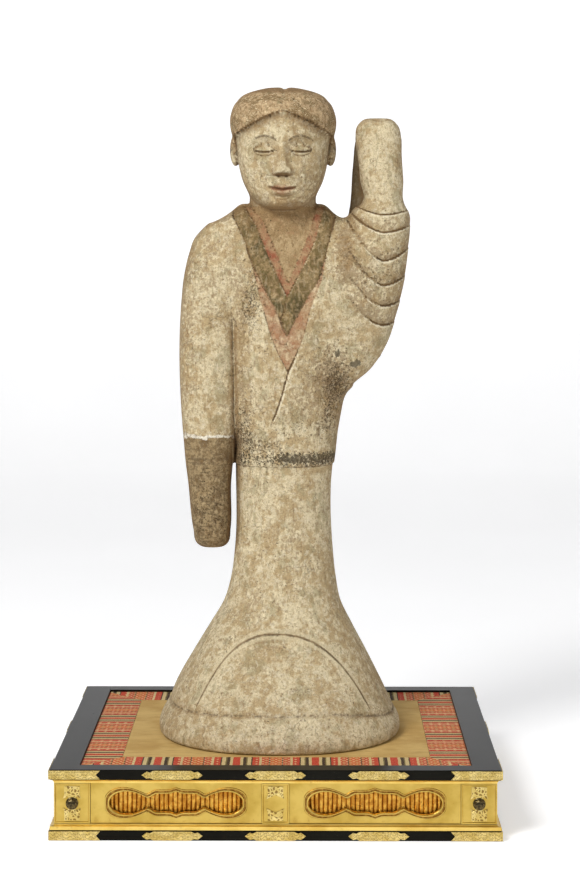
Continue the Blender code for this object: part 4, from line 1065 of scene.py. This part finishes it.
def finer_face(mesh):
    """Splits the quads of the face, where the relief is finest."""
    bm = bmesh.new()
    bm.from_mesh(mesh)
    edges = set()
    for face in bm.faces:
        x, y, z = face.calc_center_median()
        if y < -16 and 404 < z < 468 and abs(x - HEAD_CENTRE_X) < 27:
            edges.update(face.edges)
    bmesh.ops.subdivide_edges(bm, edges=list(edges), cuts=1, use_grid_fill=True)
    bm.to_mesh(mesh)
    bm.free()


def gradient(points, softness, reach=0.3):
    slopes = []
    for axis in range(3):
        shift = np.zeros(3)
        shift[axis] = reach
        ahead = figure_field(points + shift, softness)
        behind = figure_field(points - shift, softness)
        slopes.append((ahead - behind) / (2 * reach))
    return np.stack(slopes, axis=1)


def drawn_onto_form(points, softness, rounds):
    """Moves the points onto the form, a little further each round."""
    for _ in range(rounds):
        value = figure_field(points, softness)
        slope = gradient(points, softness)
        steepness = np.maximum(np.linalg.norm(slope, axis=1), 0.25)
        move = np.clip(value / steepness, -2.5, 2.5)
        points = points - (move / steepness)[:, None] * slope
    return points


def vertex_points(mesh):
    points = np.empty(len(mesh.vertices) * 3)
    mesh.vertices.foreach_get("co", points)
    return points.reshape(-1, 3)


def patches_at(points, patches):
    """How strongly the soft patches lie on each point of the front."""
    x, y, z = points.T
    total = np.zeros(len(points))
    for centre_x, height, half_x, half_z, amount in patches:
        spread = ((x - centre_x) / half_x) ** 2 + ((z - height) / half_z) ** 2
        total += amount * np.exp(-spread)
    return total * step(-y, -6.0, 2.0)


def nearest(edges, count, offset):
    """Distance to the closest edge, counted from a place the offset away on its sunk side."""
    closest = np.full(count, 9.0)
    for sunk, here, faintness in edges:
        closest = np.minimum(closest, np.where(here, np.abs(sunk - offset) + faintness, 9.0))
    return closest


def carved_lines(points, masks, crease):
    """Distances to the carved lines, whose dark sunk side is painted shadow, to the painted highlights
    along some of them and to the faint lines, in units.
    """
    x, y, z = points.T
    on_collar = masks["outer_v"] > -8
    under_wide = masks["wide_v"] > -0.5
    bands = [
        (masks["skin_v"], on_collar, 0.3),
        (masks["inner_v"], on_collar, 0.2),
        (-masks["wide_v"], on_collar, 0.2),
        (masks["outer_v"], on_collar & ~under_wide, 0.2),
        (edge_at(COLLAR_OVERLAP, z) - x, on_collar & (z > 312) & (z < 336), 0.0),
        (JACKET_HEM_HEIGHT - z, x > -33, 0.25),
    ]
    robe_edge = (edge_at(ROBE_EDGE, z) - x, (y < 0) & (z > 243) & (z < 296), 0.0)
    leaving = np.maximum(70 - x, 0) * 0.10
    on_sleeve = (x > 54) & (y < 8)
    folds = [(z - line, on_sleeve, leaving) for line in fold_lines(x)]
    plain = [
        (-masks["hair"], masks["hair"] > -8, 0.1),
        (crease, (x < -20) & (y < 0) & (z > SLIT_TOP) & (z < 352), np.maximum(z - 320, 0) * 0.03),
    ]
    faint = [
        (z - arch_height(x) + 0.5, (y < -20) & (z > skirt_band_height(x) + 6), 0.0),
        (z - skirt_band_height(x), y < 90, 0.0),
    ]
    count = len(points)
    return {
        # Offset onto the sunk side, for painted shadow along the steps
        "lines": nearest(bands + [robe_edge] + folds + plain, count, 0.35),
        "rim_highlights": nearest(folds + [robe_edge], count, -1.3),
        "faint_lines": nearest(faint, count, 0.2),
    }


def painted_face(points):
    """Where the face's faded paint is: brows and lash lines, and the lips."""
    x, y, z = points.T
    x = x - HEAD_CENTRE_X
    strokes = np.full(len(points), 9.0)
    for side in (-1, 1):
        across = (x - side * EYE_OFFSET) / EYE_HALF_WIDTH
        beyond = np.maximum(np.abs(across) - 1.15, 0) * 6
        strokes = np.minimum(strokes, np.abs(z - brow_line(across)) + beyond)
        lash = np.abs(z - lash_line(across)) + np.maximum(np.abs(across) - 1.05, 0) * 8
        strokes = np.minimum(strokes, lash)
    lip = z - mouth_line(x)
    half_height = 3.4 - 3.0 * (x / 9.5) ** 2
    lips = np.minimum(half_height - lip, lip + 0.4 + half_height * 1.1)
    in_front = (y < -20) & (z > 400)
    return np.where(in_front, strokes, 9.0), np.where(in_front, np.clip(lips, -9.0, 9.0), -9.0)


def openness(points, slopes, distance):
    """Positive in hollows and creases, negative on ridges."""
    steepness = np.maximum(np.linalg.norm(slopes, axis=1), 0.3)
    ahead = points + slopes * (distance / steepness)[:, None]
    return 1 - figure_field(ahead, EDGE_SOFTNESS) / (distance * steepness)


def paint_masks(points):
    """What the pottery's material needs to know at each point, in units."""
    x, y, z = points.T
    slopes = gradient(points, EDGE_SOFTNESS)
    normals = slopes / np.maximum(np.linalg.norm(slopes, axis=1), 1e-6)[:, None]
    skull, hair = skull_and_hair(points)
    body = limb(points, BODY_SECTIONS)
    hanging = limb(points, HANGING_SLEEVE_SECTIONS)
    on_hanging = step(body - hanging, -1.0, 1.0) * (1 - step(x, -34.0, -30.0))
    turned = 1 - step(-normals[:, 1], 0.10, 0.70)
    above_folds = [np.where(z > line, np.exp(-np.abs(z - line) / 5.0), 0.0) for line in fold_lines(x)]
    shaded = 1.3 * sum(above_folds) * step(x, 52.0, 64.0) * (y < 8) * (z < 402)
    front_sleeve = limb(points, RAISED_SLEEVE_SECTIONS)
    tail = limb(points, SLEEVE_TAIL_SECTIONS)
    near_arch = np.exp(-(((z - arch_height(x)) / 3.0) ** 2))
    near_arch *= (y < -20) & (z > skirt_band_height(x) + 6)
    behind_arm = (x > 40) & ((z > 398) | (y > 14)) & (z < 466)
    # Darker on the sides turned away from the front: painted shade
    side_shade = turned * (0.4 + 0.5 * step(z, 150.0, 230.0))
    head = head_field(points)
    dressed = np.minimum(body, np.minimum(hanging, raised_sleeve(points, EDGE_SOFTNESS)))
    on_head = step(dressed - head, -1.0, 1.0) * step(z, 396.0, 404.0)
    masks = {
        "hair": np.where((z > 420) & (on_head > 0.5), np.clip(skull - hair, -9.0, 9.0), -9.0),
        # Openness close to the surface: painted shade in creases, painted highlight on ridges
        "crevice_shade": openness(points, slopes, 1.4) - near_arch,
        # Openness over a wider reach, for painted shade in the hollows
        "hollow": openness(points, slopes, 7.0),
        "pale": patches_at(points, PALE_PATCHES),
        # Earth stains plus painted shade: turned sides, the band above each fold and the patch under
        # the chin
        "soil_and_shade": patches_at(points, SOIL_AND_SHADE_PATCHES) + side_shade + shaded,
        # Where the sleeve's end hangs behind the raised arm, for painted shade
        "tail": step(front_sleeve - tail, -1.0, 1.5) * behind_arm,
        "specks": patches_at(points, SPECK_PATCHES),
        "chips": patches_at(points, CHIPS),
        "repair": np.where(on_hanging > 0.5, z - REPAIR_HEIGHT, 60.0),
        "repair_width": on_hanging * step(z, REPAIR_HEIGHT - 5, REPAIR_HEIGHT - 4),
    }
    in_belt = np.minimum(z - BELT[0], BELT[1] - z) / 4
    strength = 0.72 + 0.33 * step(x, BELT_STRONG_FROM - 8, BELT_STRONG_FROM + 8)
    on_jacket = step(x, -33.0, -31.0) * (1 - on_hanging)
    masks["belt"] = np.clip(0.5 + in_belt, 0.0, 1.0) * strength * on_jacket * step(-y, -4.0, 4.0)
    bands = (
        ("skin_v", SKIN_EDGES),
        ("inner_v", INNER_COLLAR_EDGES),
        ("wide_v", WIDE_COLLAR_EDGES),
        ("outer_v", OUTER_BORDER_EDGES),
    )
    for name, edges in bands:
        lowest = min(edges[0][-1][0], edges[1][-1][0])
        inside = np.minimum(inside_edges(x, z, edges), z - lowest)
        on_front = (y < 4) & (z < 408) & (on_head < 0.5)
        masks[name] = np.where(on_front, np.clip(inside, -9.0, 9.0), -9.0)
    masks.update(carved_lines(points, masks, (body - hanging) / 1.6))
    strokes, lips = painted_face(points)
    masks["strokes"] = strokes
    masks["lips"] = lips
    return masks


def on_root(obj):
    """The piece rides on the object's only body."""
    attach(obj, "root")
    return obj


def piece(name, mesh, materials, place=Matrix.Identity(4)):
    for material in materials:
        mesh.materials.append(material)
    made = bpy.data.objects.new(name, mesh)
    bpy.context.scene.collection.objects.link(made)
    made.matrix_world = place
    return made


def make_dancer(clay):
    low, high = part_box("dancer_figure")
    unit = (high.z - low.z) / 500
    mesh = joined_skin(SKIN_SPACING)
    finer_face(mesh)
    points = drawn_onto_form(vertex_points(mesh), EDGE_SOFTNESS, DRAWING_ROUNDS)
    points[:, 2] = np.maximum(points[:, 2], 0.0)
    mesh.vertices.foreach_set("co", points.ravel())
    mesh.update()
    ratio = SKIN_TRIANGLES / (2 * len(mesh.polygons))
    if ratio < 1:
        mesh = evaluated_mesh(mesh, "DECIMATE", ratio=ratio)
    points = vertex_points(mesh)
    for name, values in paint_masks(points).items():
        layer = mesh.attributes.new(name, "FLOAT", "POINT")
        layer.data.foreach_set("value", values.astype(np.float32))
    mesh.vertices.foreach_set("co", (points * unit).ravel())
    mesh.update()
    mesh.shade_smooth()
    dancer = piece("painted_dancer", mesh, (clay,), Matrix.Translation((0, 0, low.z)))
    on_root(dancer)
    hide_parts("dancer_figure")


# Stand
def side_frame(node, side_word):
    """Where a plate of the stand is: its matrix, its length, its height and its thickness.

    In the matrix's own axes X runs along the side, Y is up and Z points outwards.
    """
    side = SIDE_NAMES.index(side_word)
    low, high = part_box(node)
    size = high - low
    turn = Matrix.Rotation(math.radians(90 * side), 4, "Z") @ Matrix.Rotation(math.radians(90), 4, "X")
    length, thickness = (size.x, size.y) if side % 2 == 0 else (size.y, size.x)
    return Matrix.Translation((low + high) / 2) @ turn, length, size.z, thickness


def smoothed(mesh, angle=35.0):
    mesh.shade_smooth()
    mesh.set_sharp_from_angle(angle=math.radians(angle))
    return mesh


def opening_half_height(share):
    """Half the opening's height at a share of its half length: two end lobes and a pointed middle."""
    share = abs(share)
    lobe_centre = 0.74
    notch = 0.41
    full = OPENING_HALF_HEIGHT
    neck = OPENING_NECK_HALF_HEIGHT
    if share > lobe_centre:
        return full * math.sqrt(max(0.0, 1 - ((share - lobe_centre) / (1 - lobe_centre)) ** 2))
    if share > notch:
        rise = math.sin(math.radians(90) * (share - notch) / (lobe_centre - notch))
        return neck + (full - neck) * rise
    rise = math.sin(math.radians(90) * min(1.0, (notch - share) / 0.14))
    point = max(0.0, 1 - share / 0.10)
    return neck + (0.8 * full - neck) * rise + 0.2 * full * point


def opening_outline(half, widening, count=72):
    """The cusped opening's outline, moved outwards by the widening."""
    top = []
    bottom = []
    for i in range(count):
        share = -math.cos(math.pi * i / count)
        x = share * (half + widening)
        height = opening_half_height(share) + widening * (0 if i == 0 else 1)
        top.append((x, height))
        bottom.append((-x, -height))
    return top + bottom


def make_panel(node, finish, shaded_groove_finish):
    """A panel with a cusped opening inside two thin raised mouldings."""
    place, width, height, thickness = side_frame(node, node.split("_")[2])
    half = width * OPENING_LENGTH_SHARE / 2
    back = -thickness / 2
    face = back + PANEL_THICKNESS
    proud = thickness / 2
    rim = (
        (0.0, back),
        (0.0, face + 0.0002),
        (0.0004, proud),
        (0.0011, proud),
        (0.0014, face + 0.0001),
        (0.0021, face + 0.0001),
        (0.0024, proud - 0.0001),
        (0.0029, proud - 0.0001),
        (0.0032, face),
    )
    corners = ((-1, -1), (1, -1), (1, 1), (-1, 1))
    outer = [(across * width / 2, up * height / 2) for across, up in corners]
    bm = bmesh.new()
    rings = [[bm.verts.new((x, y, z)) for x, y in opening_outline(half, out)] for out, z in rim]
    for lower, upper in zip(rings, rings[1:]):
        ring_between(bm, lower, upper)
    bm.faces.ensure_lookup_table()
    around = len(rings[0])
    # The mouldings' slopes and groove take the darker gold: painted shade
    for band in (3, 4, 5, 7):
        for i in range(band * around, (band + 1) * around):
            bm.faces[i].material_index = 1
    sheets = [[bm.verts.new((x, y, z)) for x, y in outer] for z in (back, face)]
    ring_between(bm, sheets[1], sheets[0])
    for ring, sheet in ((rings[0], sheets[0]), (rings[-1], sheets[1])):
        edges = []
        for loop in (ring, sheet):
            for i in range(len(loop)):
                pair = (loop[i - 1], loop[i])
                edges.append(bm.edges.get(pair) or bm.edges.new(pair))
        bmesh.ops.triangle_fill(bm, use_beauty=True, edges=edges)
    mesh = smoothed(mesh_from(bm, node + "_carved"), 50.0)
    panel = on_root(piece(node + "_carved", mesh, (finish, shaded_groove_finish), place))
    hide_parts(node)


def make_ribbed_liner(node, finish):
    """A liner faced with upright half-round ribs."""
    place, width, height, thickness = side_frame(node, node.split("_")[1])
    back = -thickness / 2
    face = thickness / 2
    count = int(width / RIB_PITCH)
    pitch = width / count
    arc_steps = 8
    profile = [(width / 2, back), (-width / 2, back)]
    for rib in range(count):
        start = -width / 2 + rib * pitch
        for i in range(arc_steps):
            angle = math.pi * i / arc_steps
            along = start + pitch * (1 - math.cos(angle)) / 2
            profile.append((along, face + RIB_RISE * math.sin(angle)))
    profile.append((width / 2, face))
    bm = bmesh.new()
    rings = [[bm.verts.new((x, y, z)) for x, z in profile] for y in (-height / 2, height / 2)]
    ring_between(bm, rings[0], rings[1])
    for ring in rings:
        bm.faces.new(ring)
    mesh = smoothed(mesh_from(bm, "ribbed_" + node), 60.0)
    ribs = on_root(piece("ribbed_" + node, mesh, (finish,), place))
    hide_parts(node)


def make_knobbed_plate(node, plate_finish, knob_finish):
    """A post plate of two swallowtails and, over their joint, a lobed knob."""
    place, width, height, thickness = side_frame(node, node.split("_")[2])
    back = -thickness / 2
    half = width / 2 / 1.15
    field_half = height / 2
    long = 0.72 * field_half
    steps = ((half, 0.0), (half, long * 0.68), (half * 1.15, long), (half * 0.5, long * 0.80))
    lower_right = [(x, rise - field_half) for x, rise in steps]
    right = lower_right + [(x, -y) for x, y in reversed(lower_right)]
    outline = right + [(-x, y) for x, y in reversed(right)]
    bm = bmesh.new()
    rings = [[bm.verts.new((x, y, z)) for x, y in outline] for z in (back, back + FITTING_THICKNESS)]
    ring_between(bm, rings[0], rings[1])
    for ring in rings:
        edges = [bm.edges.get((ring[i - 1], ring[i])) for i in range(len(ring))]
        bmesh.ops.triangle_fill(bm, use_beauty=True, edges=edges)
    sides = 48
    foot = back + FITTING_THICKNESS / 2
    rings = []
    for radius, rise in KNOB_PROFILE:
        ring = []
        for i in range(sides):
            angle = 2 * math.pi * i / sides
            lobe = 1 + 0.05 * math.cos(KNOB_LOBES * angle) * (0.001 < rise < 0.003)
            reach = radius * lobe
            ring.append(bm.verts.new((reach * math.cos(angle), reach * math.sin(angle), foot + rise)))
        rings.append(ring)
    knob_faces = []
    for lower, upper in zip(rings, rings[1:]):
        knob_faces += ring_between(bm, lower, upper)
    knob_faces += [bm.faces.new(rings[0]), bm.faces.new(rings[-1])]
    for face in knob_faces:
        face.material_index = 1
    mesh = smoothed(mesh_from(bm, node + "_knobbed"))
    plate = on_root(piece(node + "_knobbed", mesh, (plate_finish, knob_finish), place))
    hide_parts(node)


def camera_and_lights():
    """The photo's view, three soft lamps and a sky that is white near the horizon."""
    scene = bpy.context.scene
    camera = bpy.data.cameras.new("camera")
    camera.lens = CAMERA_LENS
    camera.sensor_fit = "AUTO"
    camera.sensor_width = CAMERA_SENSOR
    camera.shift_y = CAMERA_SHIFT_Y
    holder = bpy.data.objects.new("camera", camera)
    holder.location = CAMERA_PLACE
    holder.rotation_euler = (math.radians(CAMERA_TILT_DEG), 0.0, math.radians(CAMERA_TURN_DEG))
    scene.collection.objects.link(holder)
    scene.camera = holder
    scene.view_settings.view_transform = "Standard"
    for name, spot, size, power in LAMPS:
        light = bpy.data.lights.new(name, "AREA")
        light.shape = "DISK"
        light.size = size
        light.energy = power
        lamp = bpy.data.objects.new(name, light)
        lamp.location = spot
        aim = Vector(LAMP_AIM) - Vector(spot)
        lamp.rotation_euler = aim.to_track_quat("-Z", "Y").to_euler()
        scene.collection.objects.link(lamp)
    world = bpy.data.worlds.new("studio")
    world.use_nodes = True
    scene.world = world
    tree = world.node_tree
    background = tree.nodes["Background"]
    background.inputs["Strength"].default_value = 1.0
    direction = tree.nodes.new("ShaderNodeTexCoord").outputs["Generated"]
    split = tree.nodes.new("ShaderNodeSeparateXYZ")
    tree.links.new(direction, split.inputs[0])
    fade = tree.nodes.new("ShaderNodeMapRange")
    fade.interpolation_type = "SMOOTHSTEP"
    fade.inputs[1].default_value = SKY_WHITE_BELOW
    fade.inputs[2].default_value = SKY_GREY_ABOVE
    tree.links.new(split.outputs[2], fade.inputs[0])
    shade = tree.nodes.new("ShaderNodeMix")
    shade.data_type = "RGBA"
    shade.inputs[6].default_value = (1.0, 1.0, 1.0, 1.0)
    shade.inputs[7].default_value = SKY_GREY
    tree.links.new(fade.outputs[0], shade.inputs[0])
    tree.links.new(shade.outputs[2], background.inputs["Color"])


def make_floor():
    """A pale floor that curves up into a low wall all round."""
    flat = FLOOR_RADIUS - FLOOR_BEND
    profile = [(0.6, 0.0), (1.4, 0.0), (flat, 0.0)]
    for i in range(1, 11):
        angle = math.radians(90) * i / 10
        profile.append((flat + FLOOR_BEND * math.sin(angle), FLOOR_BEND * (1 - math.cos(angle))))
    profile.append((FLOOR_RADIUS, FLOOR_WALL_HEIGHT))
    bm = bmesh.new()
    sides = 96
    rings = []
    turns = [Matrix.Rotation(2 * math.pi * i / sides, 3, "Z") for i in range(sides)]
    for reach, height in profile:
        rings.append([bm.verts.new(turn @ Vector((reach, 0.0, height))) for turn in turns])
    for inner, outer in zip(rings, rings[1:]):
        ring_between(bm, outer, inner)
    bm.faces.new(rings[0])
    mesh = bpy.data.meshes.new("floor")
    bm.to_mesh(mesh)
    bm.free()
    mesh.shade_smooth()
    p = Paint("pale_floor", 0.7, specular=0.2)
    pale = p.blend(p.between(p.noise(300.0), 0.4, 0.6), (0.86, 0.86, 0.86), (0.88, 0.88, 0.88))
    near_side = p.between(p.math("ABSOLUTE", p.axis(0)), 1500.0, 800.0)
    near = p.times(near_side, p.between(p.axis(1), -1500.0, -600.0))
    shade = p.blend(near, (0.50, 0.50, 0.50), pale)
    # Where near is 1, in the middle and behind, the floor glows faintly white: painted light; the far
    # front and sides are darker grey
    p.shader.inputs["Emission Color"].default_value = (1.0, 1.0, 1.0, 1.0)
    p.feed(p.shader.inputs["Emission Strength"], p.times(near, 0.33))
    floor = piece("floor", mesh, (p.finish(shade),))


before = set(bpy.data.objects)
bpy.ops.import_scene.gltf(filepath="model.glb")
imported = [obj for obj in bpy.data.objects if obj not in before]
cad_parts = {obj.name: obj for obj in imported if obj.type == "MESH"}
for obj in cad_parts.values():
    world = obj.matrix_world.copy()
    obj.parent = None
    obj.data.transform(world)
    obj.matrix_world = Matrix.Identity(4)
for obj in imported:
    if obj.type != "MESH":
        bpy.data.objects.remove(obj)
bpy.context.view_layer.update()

clay = pottery()
gold = gold_leaf("gold_leaf", tone(192, 160, 74), tone(214, 184, 96))
# A lighter copy of the gold leaf for the mouldings: painted light
lit_moulding_gold = gold_leaf("lit_moulding_gold", tone(222, 186, 92), tone(242, 212, 120))
shaded_groove = shaded_groove_gold()
ribs = ribbed_gold()
gilt = engraved_gilt()
openwork = openwork_gilt()
dark_copper = knob_metal()
lacquer = black_lacquer()
straw = straw_weave()
field_low, field_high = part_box("mat_field")
brocade = striped_brocade(field_high.x / METRES_PER_MM, field_high.y / METRES_PER_MM)

finishes = (
    ("corner_post", gold),
    ("middle_post", gold),
    ("base_moulding", lit_moulding_gold),
    ("top_moulding", lit_moulding_gold),
    ("base_board", lacquer),
    ("top_board", lacquer),
    ("corner_cap", gilt),
    ("rail_mount", gilt),
    ("post_fitting", openwork),
    ("mat_field", straw),
    ("mat_border", brocade),
)
for name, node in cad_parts.items():
    for start, finish in finishes:
        if name.startswith(start):
            for slot in node.material_slots:
                slot.material = finish

for name in sorted(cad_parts):
    if name.startswith("pierced_panel"):
        make_panel(name, gold, shaded_groove)
    if name.startswith("liner"):
        make_ribbed_liner(name, ribs)
    if name in ("post_fitting_front_left", "post_fitting_front_right"):
        make_knobbed_plate(name, openwork, dark_copper)
make_dancer(clay)

make_floor()
camera_and_lights()
